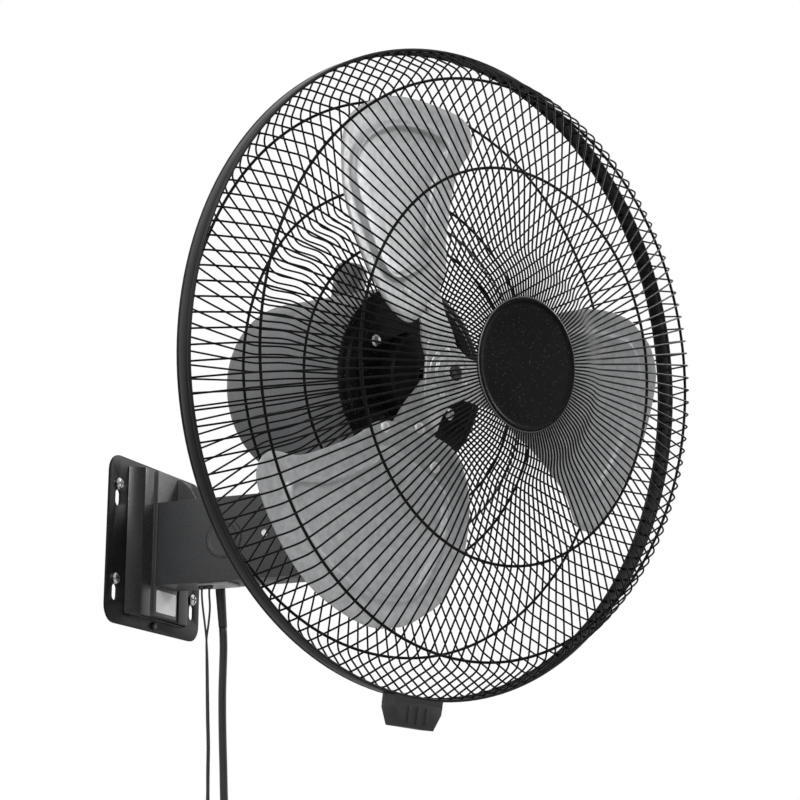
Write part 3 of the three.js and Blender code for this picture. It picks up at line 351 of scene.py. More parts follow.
def bare_metal(name, base, roughness, brush=(1, 1, 1), metallic=1.0):
    """Metal with fine streaks, drawn out along the brush's directions."""
    made = Nodes(name, base, roughness, metallic)
    tone = made.ramp(made.noise(METAL["tone"], 4.0, brush), low=0.35, high=0.65)
    made.color(made.mix(tone, shade(base, 0.78), base))
    made.rough(made.ramp(made.noise(METAL["sheen"], 2.0, brush), roughness * 0.8, roughness * 1.25))
    made.bump(made.noise(METAL["grain"], 2.0, brush), 0.12, METAL["relief"])
    return made.material


PLATE_GLOSS = powder_coat("plate_gloss", (0.008, 0.008, 0.009), 0.30, 500.0, speck=0.18, shine=0.12,
                          peel=0.05)
# The channel's copy of the plate's gloss black: more shine, and a lighter base colour as painted highlight.
CHANNEL_HIGHLIGHT_GLOSS = powder_coat("channel_gloss_highlight", (0.018, 0.018, 0.019), 0.24, 500.0, speck=0.18, shine=0.45,
                            peel=0.05)
ARM_PAINT = powder_coat("arm_paint", (0.040, 0.041, 0.043), 0.42, 1400.0, speck=0.12, mottle=0.6)
COVER_PAINT = powder_coat("cover_paint", (0.150, 0.154, 0.160), 0.45, 1400.0, mottle=0.25)
GUARD_PAINT = powder_coat("guard_paint", (0.0026, 0.0026, 0.003), 0.38, 1200.0, shine=0.08)
BAND_PAINT = powder_coat("band_paint", (0.007, 0.007, 0.0075), 0.30, 1200.0, shine=0.22)
DISC_PAINT = powder_coat("disc_paint", (0.004, 0.004, 0.005), 0.28, 900.0, speck=0.4, shine=0.15)
CAP_GLOSS = powder_coat("cap_gloss", (0.004, 0.004, 0.0045), 0.26, 900.0, speck=0.25, shine=0.05, peel=0.08)
# A lighter copy of the cap's black for the ring on the cap's lip: painted highlight.
LIP_HIGHLIGHT = powder_coat("cap_lip_highlight", (0.10, 0.10, 0.105), 0.30, 1200.0)
BLADE_METAL = bare_metal("blade_metal", (0.52, 0.53, 0.54), 0.42, metallic=0.32)
HUB_METAL = bare_metal("hub_metal", (0.62, 0.63, 0.64), 0.36, metallic=0.5)
RIVET_METAL = bare_metal("rivet_metal", (0.86, 0.86, 0.86), 0.34, metallic=0.3)
# Dark metal for the locking screw, also used as painted shade in the screw recesses and on the shaft's end.
DARK_METAL_AND_SHADE = bare_metal("dark_metal_and_shade", (0.09, 0.09, 0.095), 0.38)
NUT_METAL = bare_metal("nut_metal", (0.80, 0.80, 0.79), 0.30, metallic=0.35)
ZINC = bare_metal("zinc", (0.72, 0.72, 0.71), 0.24)
STEEL = bare_metal("steel", (0.50, 0.51, 0.52), 0.30)
CAST = bare_metal("cast_alloy", (0.34, 0.35, 0.36), 0.5)
LAMINATE = bare_metal("laminate", (0.08, 0.085, 0.095), 0.55, (1, 40, 1))
BLACK_PLASTIC = plastic("black_plastic", (0.012, 0.012, 0.012), 0.46)
WHITE_PLASTIC = plastic("white_plastic", (0.74, 0.74, 0.71), 0.5)
PANEL_GREY = plastic("panel_grey", (0.36, 0.37, 0.38), 0.5)
JACKET = plastic("lead_jacket", (0.012, 0.012, 0.013), 0.42, 900.0)
BRASS = bare_metal("pin_brass", (0.72, 0.52, 0.2), 0.26)
LABEL = plastic("label_film", (0.78, 0.78, 0.77), 0.42)

SLOT_LOOKS = {
    "plate_gloss": PLATE_GLOSS, "arm_paint": ARM_PAINT, "guard_paint": GUARD_PAINT, "cap_gloss": CAP_GLOSS,
    "blade_metal": BLADE_METAL, "zinc": ZINC, "steel": STEEL, "cast_alloy": CAST, "laminate": LAMINATE,
    "black_plastic": BLACK_PLASTIC, "white_plastic": WHITE_PLASTIC, "panel_grey": PANEL_GREY,
    "lead_jacket": JACKET, "pin_brass": BRASS,
}
NODE_LOOKS = {"motor_cover": COVER_PAINT, "bracket_channel": CHANNEL_HIGHLIGHT_GLOSS, "locking_screw": DARK_METAL_AND_SHADE}
NODE_SLOTS = {part["node"]: part["material_slot"] for part in frame["record"]["subparts"]}
NODE_BODIES = {node: body for body, nodes in frame["record"]["behaviour"]["bodies"].items() for node in nodes}


def node_look(name):
    return NODE_LOOKS.get(name) or SLOT_LOOKS[NODE_SLOTS[name]]


def dress_nodes():
    for name, node in frame["nodes"].items():
        node.data.materials.clear()
        node.data.materials.append(node_look(name))


dress_nodes()

# -------------------------------- more mesh helpers


def smoothstep(value, low, high):
    share = min(max((value - low) / (high - low), 0.0), 1.0)
    return share * share * (3 - 2 * share)


def crease(piece, angle):
    """Edges sharper than the angle stay hard under smooth shading."""
    piece.data.set_sharp_from_angle(angle=math.radians(angle))


def rounded(corners, bend, steps=6, most=0.48):
    """A path with each corner eased into a curve, which takes a bend's length, or most, of each side."""
    corners = [np.asarray(c, float) for c in corners]
    out = [corners[0]]
    for before, corner, after in zip(corners, corners[1:], corners[2:]):
        start = corner + (before - corner) * min(most, bend / np.linalg.norm(before - corner))
        end = corner + (after - corner) * min(most, bend / np.linalg.norm(after - corner))
        for t in np.linspace(0, 1, steps):
            out.append((1 - t) ** 2 * start + 2 * t * (1 - t) * corner + t * t * end)
    out.append(corners[-1])
    return np.array(out)


def around(part, turns):
    """Copies of a part of the head, each turned about the fan axis."""
    verts, faces = part
    x, y, z = np.asarray(verts, float).T
    copies = []
    for turn in turns:
        c, s = math.cos(turn), math.sin(turn)
        copies.append((np.stack([c * x - s * z, y, s * x + c * z], 1), faces))
    return merged(copies)


POLE = 1e-6


def lathe(profile, steps, closed=True):
    """A profile of (radius, depth) turned about the fan axis; a radius of zero makes a pole."""
    rings, verts = [], []
    turns = full_turn(steps)
    for radius, depth in profile:
        if radius < POLE:
            rings.append([len(verts)] * steps)
            verts.append((0, -depth, 0))
        else:
            rings.append([len(verts) + k for k in range(steps)])
            verts += [polar(radius, turn, depth) for turn in turns]
    faces = []
    pairs = list(zip(rings, rings[1:])) + ([(rings[-1], rings[0])] if closed else [])
    for low, high in pairs:
        for k in range(steps):
            n = (k + 1) % steps
            corners = list(dict.fromkeys((low[k], low[n], high[n], high[k])))
            if len(corners) > 2:
                faces.append(tuple(corners))
    return np.array(verts, float), faces


def head_piece(name, part, material, body="head", nodes=(), angle=50):
    """A piece given in millimetres in the head frame."""
    verts, faces = part
    piece = mesh_piece(name, to_row(verts), faces, material)
    tidy_normals(piece)
    crease(piece, angle)
    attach(piece, body)
    if nodes:
        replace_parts(piece, *nodes)


def apply_modifiers(piece):
    """Gives the piece the mesh that its modifiers make, smooth shaded."""
    applied = bpy.data.meshes.new_from_object(piece.evaluated_get(bpy.context.evaluated_depsgraph_get()))
    piece.modifiers.clear()
    piece.data = applied
    applied.polygons.foreach_set("use_smooth", [True] * len(applied.polygons))


def tidy_normals(piece):
    mesh = bmesh.new()
    mesh.from_mesh(piece.data)
    bmesh.ops.recalc_face_normals(mesh, faces=mesh.faces)
    mesh.to_mesh(piece.data)
    mesh.free()


EDGE = {"angle": math.radians(30), "segments": 3, "flat": math.radians(0.6), "weld": 1e-6, "crease": 34}


def softened(node, width):
    """A CAD node again with its edges rounded over, in the same place and on the same body."""
    mesh = bmesh.new()
    mesh.from_mesh(frame["nodes"][node].data)
    bmesh.ops.remove_doubles(mesh, verts=mesh.verts, dist=EDGE["weld"])
    bmesh.ops.dissolve_limit(mesh, angle_limit=EDGE["flat"], verts=mesh.verts, edges=mesh.edges)
    data = bpy.data.meshes.new(f"{node}_finish")
    mesh.to_mesh(data)
    mesh.free()
    data.materials.clear()
    data.materials.append(node_look(node))
    piece = bpy.data.objects.new(f"{node}_finish", data)
    bpy.context.collection.objects.link(piece)
    bevel = piece.modifiers.new("edges", "BEVEL")
    bevel.width = width * MM
    bevel.segments = EDGE["segments"]
    bevel.limit_method = "ANGLE"
    bevel.angle_limit = EDGE["angle"]
    bevel.use_clamp_overlap = True
    apply_modifiers(piece)
    crease(piece, EDGE["crease"])
    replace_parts(piece, node)
    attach(piece, NODE_BODIES[node])


# -------------------------------- guard

# Millimetres in the head frame; pairs are (radius, depth), with depth forward of the rim's plane.
RIM = {"radius": 256.9, "sheet": 1.2, "front": 5.4, "rear": -6.2, "steps": 240}
HOOK_RADIUS = 254.6               # the wires end inside the band
OUTER_HOOP = 224.7
ELBOW = 232.0
WIRE_RADIUS = 0.76
HOOP_RADIUS = 1.15
FRONT_COUNT = 138
REAR_COUNT = 132
FRONT_BEND = 9
REAR_BEND = 7
WIRE_SIDES = 7
HOOP_SIDES = 10
HOOP_STEPS = 180
FRONT_WIRE = [(49.4, 85.0), (53.1, 85.2), (72, 85.4), (89, 76), (152.4, 72.1), (OUTER_HOOP, 50.8),
              (ELBOW + 0.8, 47), (HOOK_RADIUS, 8.2), (HOOK_RADIUS, 2)]
REAR_WIRE = [(74.9, -47.4), (131, -47.6), (143, -69), (OUTER_HOOP, -44.9), (ELBOW, -40.5),
             (HOOK_RADIUS, -8.2), (HOOK_RADIUS, -2)]
RIM_RINGS = [(255.9, 6.9), (255.6, -6.9)]
RIM_RING_RADIUS = 1.35
FRONT_HOOPS = [(49.8, 83.6), (152.4, 70.4), (OUTER_HOOP + 0.6, 48.6)]
REAR_HOOPS = [(112, -45.8), (157, -63.2), (OUTER_HOOP, -43.2)]
CENTRE_PLATE = {"bore": 36.6, "radius": 76.6, "front": -46.0, "back": -48.0, "lip": -49.0,
                "bead_from": 58.0, "bead_to": 70.5, "bead_tall": 1.6, "steps": 144}


def wire_cage(profile, bend, count, offset):
    """Wires of one profile all round the fan axis; offset is the first one's turn, as a share of a pitch."""
    path = [polar(radius, 0, depth) for radius, depth in rounded(profile, bend)]
    turns = [2 * math.pi * (i + offset) / count for i in range(count)]
    return around(tube(path, WIRE_RADIUS, WIRE_SIDES), turns)


def hoop(radius, depth, thick=HOOP_RADIUS):
    path = [polar(radius, turn, depth) for turn in full_turn(HOOP_STEPS)]
    return tube(path, thick, HOOP_SIDES, closed=True)


def front_guard():
    parts = [wire_cage(FRONT_WIRE, FRONT_BEND, FRONT_COUNT, 0.5)] + [hoop(*place) for place in FRONT_HOOPS]
    head_piece("front_guard_wires", merged(parts), GUARD_PAINT,
               nodes=["front_guard"], angle=75)


def centre_plate():
    """The pressed plate at the rear guard's middle, with a raised ring and a lip turned back."""
    plate = CENTRE_PLATE
    bore, radius, front, back, lip = (plate[key] for key in ("bore", "radius", "front", "back", "lip"))
    start, end, tall = plate["bead_from"], plate["bead_to"], plate["bead_tall"]
    profile = [(bore, front - 0.4), (bore + 0.6, front), (start, front), (start + 2.5, front + tall),
               (end - 2.5, front + tall), (end, front), (radius - 1.6, front), (radius, front - 0.9),
               (radius, lip + 0.3), (radius - 0.5, lip), (radius - 2.2, lip), (radius - 2.5, lip + 0.4),
               (radius - 3, back), (end, back), (end - 2.5, back + tall - 0.2),
               (start + 2.5, back + tall - 0.2), (start, back), (bore + 0.6, back), (bore, back + 0.4)]
    return lathe(profile, plate["steps"])


def rear_guard():
    parts = [wire_cage(REAR_WIRE, REAR_BEND, REAR_COUNT, 0.0)] + [hoop(*place) for place in REAR_HOOPS]
    head_piece("rear_guard_wires", merged(parts), GUARD_PAINT,
               nodes=["rear_guard"], angle=75)
    head_piece("rear_guard_plate", centre_plate(), DISC_PAINT,
               nodes=["rear_guard"], angle=30)


def rim_band():
    """A rolled band with a crowned outside, and the two end rings of the guards in its mouth."""
    outer, inner, front, rear = RIM["radius"], RIM["radius"] - RIM["sheet"], RIM["front"], RIM["rear"]
    crown = [(outer - 0.9, front), (outer - 0.35, front - 0.9), (outer, front - 2.6), (outer + 0.1, 0),
             (outer, rear + 2.6), (outer - 0.35, rear + 0.9), (outer - 0.9, rear)]
    lining = [(inner - 0.6, rear + 0.1), (inner - 0.3, rear + 1.2), (inner, rear + 2.6), (inner, front - 2.6),
              (inner - 0.3, front - 1.2), (inner - 0.6, front - 0.1)]
    parts = [lathe(crown + lining, RIM["steps"])]
    parts += [hoop(*place, thick=RIM_RING_RADIUS) for place in RIM_RINGS]
    head_piece("rim_band", merged(parts), BAND_PAINT, nodes=["guard_rim_band"], angle=40)


SADDLE = {"half": 24.5, "reach": 256.5, "low": -263.0, "front": 10.0, "rear": -5.0, "steps": 25}


def clip_saddle():
    """The clip's curved seat, which fills the space up to the band."""
    half, low = SADDLE["half"], SADDLE["low"]
    across = np.linspace(-half, half, SADDLE["steps"])
    outline = [(x, -math.sqrt(SADDLE["reach"] ** 2 - x * x)) for x in across] + [(half, low), (-half, low)]
    head_piece("guard_clip_seat", extruded(outline, -SADDLE["front"], -SADDLE["rear"]), BLACK_PLASTIC,
               nodes=["guard_clip"], angle=30)


CAP_PROFILE = [(0, 86.55), (20, 86.5), (36, 86.3), (44, 85.9), (46.4, 85.8), (47.6, 86.1), (48.7, 86.7),
               (49.6, 86.95), (50.6, 86.8), (51.2, 86.2), (51.4, 85.4), (51.4, 84.0), (50.8, 83.2), (0, 83.2)]
CAP_STEPS = 160
# The lighter ring laid on the cap's lip, as painted highlight.
CAP_LIP = {"radius": 51.0, "depth": 85.3, "thick": 0.95}


def guard_cap():
    """The blank centre cap: a rolled lip round a shallow dished face, and a lighter ring on the lip as painted
    highlight.
    """
    head_piece("guard_cap_face", lathe(CAP_PROFILE, CAP_STEPS, closed=False), CAP_GLOSS,
               nodes=["guard_cap"], angle=60)
    head_piece("guard_cap_lip", hoop(**CAP_LIP), LIP_HIGHLIGHT, nodes=["guard_cap"], angle=60)


# -------------------------------- blades and hub

# Blade places are pairs (u, w): u across the blade and w outward from the fan axis.
BLADE_COUNT = 3
FIRST_BLADE = 120.4
BLADE_TURNS = [math.radians(FIRST_BLADE + 360 / BLADE_COUNT * i) for i in range(BLADE_COUNT)]
BLADE_CENTRE = (4, 147)
BLADE_SHEET = 1.4
BLADE_OUTLINE = [(-0.7, 59.6), (-27.6, 75.3), (-40.8, 104.1), (-67.6, 145.4), (-92.6, 164.3), (-92.3, 185.4),
                 (-68.3, 201.9), (-29, 217.9), (4.1, 223.1), (42.9, 218), (65.4, 201.8), (77.1, 181.1),
                 (83.5, 158.5), (80.7, 119.6), (62.2, 74.4), (34.4, 51)]
BEAD_LOOP = [(-10, 92), (38, 88), (57, 108), (64, 150), (60, 178), (34, 197), (-15, 198), (-63, 174),
             (-40, 148), (-16, 110)]
# Depth of the blade, and how it changes over each 100 mm across or outward.
BLADE_SHAPE = {"level": 3.0, "pitch": 24.9, "twist": 2.0, "rake": 5.6, "level_at": 1.3, "camber": 11.5}
BEAD = {"half": 5.2, "tall": 3.2, "steps": 10}
ROUND_EDGE = [(0.0, 0.55), (0.35, 0.25), (0.9, 0.0)]    # inset from the outline, and drop at each inset
OUTLINE_STEPS = 200
RIVETS = [(28.5, 74.5), (2.5, 56.0), (-21.5, 76.5)]
RIVET = {"radius": 4.6, "tall": 1.6, "sunk": 0.2, "collar": 0.5, "steps": 24}
RIVET_DOME = [(0.93, 0.35), (0.75, 0.7), (0.45, 0.93)]  # shares of the radius and of the dome's height


def blade_depth(u, w):
    """The blade's middle surface, pitched, twisted and cambered."""
    across, outward, shape = u / 100, w / 100, BLADE_SHAPE
    return (shape["level"] + (shape["pitch"] - shape["twist"] * outward) * across
            + shape["rake"] * (outward - shape["level_at"]) + shape["camber"] * across ** 2)


def blade_place(u, w, depth, turn):
    """A blade's place (u, w) and a depth as a point of the head."""
    return (w * math.cos(turn) - u * math.sin(turn), -depth, w * math.sin(turn) + u * math.cos(turn))


def closed_spline(points, steps, fineness=24):
    """A closed curve through the points, evenly stepped."""
    points = np.array(points, float)
    fine = []
    for i in range(len(points)):
        p0, p1, p2, p3 = (points[(i + k) % len(points)] for k in (-1, 0, 1, 2))
        for t in np.linspace(0, 1, fineness, endpoint=False):
            fine.append(0.5 * (2 * p1 + (p2 - p0) * t + (2 * p0 - 5 * p1 + 4 * p2 - p3) * t * t
                               + (3 * p1 - p0 - 3 * p2 + p3) * t ** 3))
    fine = np.array(fine + [fine[0]])
    along = np.concatenate([[0], np.cumsum(np.linalg.norm(np.diff(fine, axis=0), axis=1))])
    at = np.linspace(0, along[-1], steps, endpoint=False)
    return np.stack([np.interp(at, along, fine[:, k]) for k in (0, 1)], 1)


def loop_reach(loop, angles):
    """How far a loop lies from the blade's centre in each direction."""
    offset = loop - np.array(BLADE_CENTRE)
    bearing = np.unwrap(np.arctan2(offset[:, 1], offset[:, 0]))
    reach = np.linalg.norm(offset, axis=1)
    turn = 2 * math.pi
    order = np.argsort(bearing % turn)
    return np.interp(angles % turn, (bearing % turn)[order], reach[order], period=turn)


def blade_rings(edges, crests):
    """Rings of (reach, drop, rise) at each bearing, from the rounded edge over the bead to the middle."""
    half, tall = BEAD["half"], BEAD["tall"]
    rings = [[(edge - inset, drop, 0.0) for edge in edges] for inset, drop in ROUND_EDGE]
    outer = edges - ROUND_EDGE[-1][0]
    foot = np.minimum(crests + half, outer - 1)
    for share in (0.25, 0.5, 0.75, 1.0):
        rings.append([(o + (f - o) * share, 0.0, 0.0) for o, f in zip(outer, foot)])
    for k in range(1, BEAD["steps"] + 1):
        step = 1 - 2 * k / BEAD["steps"]
        rise = tall * 0.5 * (1 + math.cos(math.pi * step))
        rings.append([(crest + half * step, 0.0, rise) for crest in crests])
    for share in (0.8, 0.6, 0.4, 0.2, 0.06):
        rings.append([((crest - half) * share, 0.0, 0.0) for crest in crests])
    return rings


def blade_part(turn):
    """A pressed blade: the rings of its front and back skins, joined at the edge."""
    outline = closed_spline(BLADE_OUTLINE, OUTLINE_STEPS)
    offset = outline - np.array(BLADE_CENTRE)
    angles = np.arctan2(offset[:, 1], offset[:, 0])
    crests = loop_reach(closed_spline(BEAD_LOOP, 2 * OUTLINE_STEPS), angles)
    rings = blade_rings(np.linalg.norm(offset, axis=1), crests)
    middle_u, middle_w = BLADE_CENTRE
    count = len(angles)
    verts, faces = [], []
    for side in (1, -1):
        first = len(verts)
        for ring in rings:
            for angle, (reach, drop, rise) in zip(angles, ring):
                u = middle_u + reach * math.cos(angle)
                w = middle_w + reach * math.sin(angle)
                depth = blade_depth(u, w) + side * (BLADE_SHEET / 2 - drop) + rise
                verts.append(blade_place(u, w, depth, turn))
        starts = range(first, len(verts), count)
        faces += [face for low, high in zip(starts, starts[1:]) for face in band(low, high, count)]
        faces += fan(starts[-1], len(verts), count)
        skin = side * BLADE_SHEET / 2
        verts.append(blade_place(middle_u, middle_w, blade_depth(middle_u, middle_w) + skin, turn))
    faces += band(0, len(verts) // 2, count)
    return np.array(verts), faces


def on_blade(u, w, turn, lift=0.0):
    return np.array(blade_place(u, w, blade_depth(u, w) + lift, turn))


def rivet_part(u, w, turn):
    """A low domed rivet head standing on the blade."""
    step = 0.5
    here = on_blade(u, w, turn, BLADE_SHEET / 2 - RIVET["sunk"])
    across = on_blade(u + step, w, turn) - on_blade(u, w, turn)
    out = on_blade(u, w + step, turn) - on_blade(u, w, turn)
    across /= np.linalg.norm(across)
    normal = np.cross(across, out)
    normal /= np.linalg.norm(normal)
    if normal[1] > 0:
        normal = -normal
    side = np.cross(normal, across)
    radius, tall, collar = RIVET["radius"], RIVET["tall"], RIVET["collar"]
    levels = [(radius, 0), (radius, collar)]
    levels += [(radius * share, collar + (tall - collar) * rise) for share, rise in RIVET_DOME]
    rings = [[here + (across * math.cos(a) + side * math.sin(a)) * r + normal * h
              for a in full_turn(RIVET["steps"])] for r, h in levels]
    return stacked(rings, here + normal * tall)


def blades():
    for i, turn in enumerate(BLADE_TURNS):
        head_piece(f"blade_{i + 1}_skin", blade_part(turn), BLADE_METAL, body="rotor",
                   nodes=[f"blade_{i + 1}"], angle=60)
        rivets = merged([rivet_part(u, w, turn) for u, w in RIVETS])
        head_piece(f"blade_{i + 1}_rivets", rivets, RIVET_METAL, body="rotor", angle=60)


HUB = {"radius": 32.5, "bore": 6.3, "front": -3.0, "thick": 3.0, "boss": 14.2, "boss_tall": 2.0,
       "groove": 19.9, "flat": 24.2, "flat_turn": 184.0, "steps": 180}
ARM = {"start": 20.5, "end": 86.0, "half": 17.0, "corner": 9.0, "sheet": 2.0, "flat": -4.5, "behind": -2.0,
       "twist_from": 29.0, "twist_to": 50.0, "rows": 16, "end_rows": 8, "columns": 13}
NUT = {"radius": 8.2, "back": -0.7, "front": 5.8, "bore": 6.2, "chamfer": 7.35, "steps": 72}


def closed_sheet(front, back):
    """A closed thin sheet from two grids of points with the same rows and columns."""
    rows, columns = front.shape[:2]
    verts = np.concatenate([front.reshape(-1, 3), back.reshape(-1, 3)])
    behind = rows * columns
    faces = []
    for r in range(rows - 1):
        for c in range(columns - 1):
            a, b = r * columns + c, r * columns + c + 1
            faces.append((a, b, b + columns, a + columns))
            faces.append((behind + a, behind + a + columns, behind + b + columns, behind + b))
    at = np.arange(behind).reshape(rows, columns)
    border = [int(i) for i in (*at[0], *at[1:, -1], *at[-1, -2::-1], *at[-2:0:-1, 0])]
    for a, b in zip(border, border[1:] + border[:1]):
        faces.append((a, behind + a, behind + b, b))
    return verts, faces


def hub_arm(turn):
    """A pressed arm: flat at the disc, then twisted to lie behind its blade, with rounded end corners."""
    rise = ARM["end"] - ARM["corner"]
    rounds = rise + ARM["corner"] * np.sin(np.linspace(0.15, 1, ARM["end_rows"]) * math.pi / 2)
    stations = [*np.linspace(ARM["start"], rise, ARM["rows"]), *rounds]
    grids = []
    for side in (1, -1):
        grid = []
        for w in stations:
            over = max(0.0, w - rise) / ARM["corner"]
            half = ARM["half"] - ARM["corner"] * (1 - math.sqrt(max(0.0, 1 - over * over)))
            blend = smoothstep(w, ARM["twist_from"], ARM["twist_to"])
            row = []
            for share in np.linspace(-1, 1, ARM["columns"]):
                u = share * half
                depth = ARM["flat"] + (blade_depth(u, w) + ARM["behind"] - ARM["flat"]) * blend
                row.append(blade_place(u, w, depth + side * ARM["sheet"] / 2, turn))
            grid.append(row)
        grids.append(np.array(grid))
    return closed_sheet(*grids)


HUB_RIVET = {"at": 18.6, "apart": math.radians(18), "radius": 2.4, "tall": 1.1, "steps": 20}
HUB_RIVET_DOME = [(1.0, -0.2), (1.0, 0.3), (0.88, 0.6), (0.6, 0.88)]


def dome(reach, turn, depth):
    """A low rivet head facing forward on the hub plate."""
    radius, tall = HUB_RIVET["radius"], HUB_RIVET["tall"]
    x, _, z = polar(reach, turn, 0)
    rings = [[(x + radius * share * math.cos(a), -depth - tall * rise, z + radius * share * math.sin(a))
              for a in full_turn(HUB_RIVET["steps"])] for share, rise in HUB_RIVET_DOME]
    return stacked(rings, (x, -depth - tall, z))


def hub_plate(profile):
    """A turned plate whose rim is cut straight between the arms."""
    verts, faces = lathe(profile, HUB["steps"])
    for vert in verts:
        radius, turn = math.hypot(vert[0], vert[2]), math.atan2(vert[2], vert[0])
        if radius < HUB["flat"]:
            continue
        for i in range(BLADE_COUNT):
            off = turn - math.radians(HUB["flat_turn"] + 360 / BLADE_COUNT * i)
            reach = radius * math.cos(off)
            limit = HUB["flat"] - (HUB["radius"] - radius)
            if reach > limit:
                vert[0] *= limit / reach
                vert[2] *= limit / reach
                break
    return verts, faces


def hub():
    bore, edge, groove, neck = HUB["bore"], HUB["radius"], HUB["groove"], HUB["boss"]
    front, boss = HUB["front"], HUB["front"] + HUB["boss_tall"]
    back = front - HUB["thick"]
    profile = [(bore, back), (edge - 1, back), (edge, back + 0.9), (edge, front - 0.9), (edge - 1, front),
               (groove + 0.7, front), (groove, front - 0.6), (groove - 0.7, front), (neck + 0.6, front),
               (neck, front + 0.5), (neck - 0.4, boss - 0.5), (neck - 1, boss), (bore + 0.5, boss),
               (bore, boss - 0.5)]
    parts = [hub_plate(profile)] + [hub_arm(turn) for turn in BLADE_TURNS]
    head_piece("hub_spider", merged(parts), HUB_METAL, body="rotor",
               nodes=["blade_hub"], angle=32)
    rivets = [dome(HUB_RIVET["at"], turn + side * HUB_RIVET["apart"], front) for turn in BLADE_TURNS
              for side in (-1, 1)]
    head_piece("hub_rivets", merged(rivets), RIVET_METAL, body="rotor", nodes=["blade_hub"], angle=50)


def nut():
    """A chamfered hexagon nut."""
    bore, chamfer, corner = NUT["bore"], NUT["chamfer"], NUT["radius"]
    back, front, steps = NUT["back"], NUT["front"], NUT["steps"]
    flat = corner * math.cos(math.pi / 6)

    def ring(limit, depth):
        """The hexagon, rounded off where it reaches past the limit."""
        return [polar(min(flat / math.cos(turn % (math.pi / 3) - math.pi / 6), limit), turn, depth)
                for turn in full_turn(steps)]

    rings = [ring(bore, back), ring(chamfer, back), ring(corner, back + 0.6), ring(corner, front - 0.7),
             ring(chamfer, front), ring(bore + 0.5, front), ring(bore, front - 0.5)]
    faces = []
    for i in range(len(rings)):
        faces += band(i * steps, (i + 1) % len(rings) * steps, steps)
    head_piece("hub_nut_hex", (np.concatenate(rings), faces), NUT_METAL, body="rotor",
               nodes=["hub_nut"], angle=25)


SHAFT_END = {"radius": 5.7, "depth": 7.0, "thick": 1.2, "drill": 1.6, "drill_deep": 0.6, "steps": 40}


def shaft_end():
    """The centre-drilled end of the shaft inside the nut, dark as painted shade."""
    radius, depth, thick = (SHAFT_END[key] for key in ("radius", "depth", "thick"))
    profile = [(0, depth - SHAFT_END["drill_deep"]), (SHAFT_END["drill"], depth + 0.05),
               (radius - 0.5, depth + 0.05), (radius, depth - 0.3), (radius, depth - thick),
               (0, depth - thick)]
    # The end is drawn in dark metal as painted shade.
    head_piece("shaft_end", lathe(profile, SHAFT_END["steps"], closed=False), DARK_METAL_AND_SHADE,
               body="rotor", nodes=["motor_shaft"], angle=25)


# -------------------------------- motor cover

COVER = {"radius": 76.0, "front": -48.6, "rear": -203.0, "corner": 10.0, "wall": 1.6, "steps": 160}
MOUTH = {"radius": 12.6, "depth": -188.55, "below": 20.0, "above": 30.0, "steps": 48}


def carve(piece, cutter):
    """Takes the cutter's volume out of the piece."""
    change = piece.modifiers.new("cut", "BOOLEAN")
    change.object = cutter
    change.operation = "DIFFERENCE"
    change.solver = "EXACT"
    apply_modifiers(piece)
    bpy.data.objects.remove(cutter)


def cover_profile():
    """A cup's half section: the outside with its round corner, then the inside back to the axis."""
    radius, front, rear, corner, wall = (COVER[key] for key in ("radius", "front", "rear", "corner", "wall"))
    bend = corner - wall
    outside = [(radius - 1.0, front), (radius, front - 1.0), (radius, rear + corner)]
    outside += [(radius - corner + corner * math.cos(a), rear + corner - corner * math.sin(a))
                for a in np.linspace(0, math.pi / 2, 12)[1:]]
    inside = [(radius - corner + bend * math.cos(a), rear + corner - bend * math.sin(a))
              for a in np.linspace(0, math.pi / 2, 8)]
    return [(0, rear)] + outside[::-1] + [(radius - wall, front)] + inside + [(0, rear + wall)]


def motor_cover():
    """A drawn cup over the motor, with a rolled front edge and a mouth underneath for the swing spindle."""
    verts, faces = lathe(cover_profile(), COVER["steps"], closed=False)
    piece = mesh_piece("motor_shell", to_row(verts), faces, COVER_PAINT)
    tidy_normals(piece)
    reach, low, high = MOUTH["radius"], -COVER["radius"] - MOUTH["below"], -COVER["radius"] + MOUTH["above"]
    circle = [(reach * math.cos(a), reach * math.sin(a) - MOUTH["depth"]) for a in full_turn(MOUTH["steps"])]
    verts, faces = joined([(x, y, low) for x, y in circle], [(x, y, high) for x, y in circle])
    cutter = mesh_piece("mouth_cutter", to_row(verts), faces, COVER_PAINT)
    tidy_normals(cutter)
    carve(piece, cutter)
    crease(piece, 40)
    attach(piece, "head")
    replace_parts(piece, "motor_cover")


BOSS = {"radius": 14.0, "depth": -145.0, "top": 108.0, "base": 70.0, "bend": 5.0, "flare": 1.6, "steps": 64}


def cover_boss():
    """The round boss that stands on the cover over the swing gearing."""
    radius, top, bend, base = (BOSS[key] for key in ("radius", "top", "bend", "base"))
    wide, skin = radius + BOSS["flare"], COVER["radius"]
    levels = [(wide, base), (wide, skin - 1.0), (radius, skin + 2.0)]
    levels += [(radius - bend + bend * math.cos(a), top - bend + bend * math.sin(a))
               for a in np.linspace(0, math.pi / 2, 8)]
    levels.append((radius * 0.35, top + 0.3))
    rings = [[(r * math.cos(a), r * math.sin(a) - BOSS["depth"], z) for a in full_turn(BOSS["steps"])]
             for r, z in levels]
    head_piece("motor_cover_boss", stacked(rings, (0, -BOSS["depth"], top + 0.4)), COVER_PAINT,
               nodes=["motor_cover"], angle=40)


# -------------------------------- edges of the rigid parts

SOFT_EDGES = {
    "wall_plate": 0.8, "bracket_channel": 0.8, "arm_slide": 0.7, "arm_housing": 1.1, "arm_side_cap": 0.6,
    "arm_bottom_cover": 0.6, "gear_housing": 0.8, "neck_bracket": 0.8, "motor_front_bell": 0.8,
    "guard_clip": 0.9, "plug_body": 1.2, "pull_knob_speed": 0.6, "pull_knob_swing": 0.6, "cord_tie": 0.4,
    "strain_relief": 0.4, "tilt_bolt": 0.5, "tilt_nut": 0.5,
}


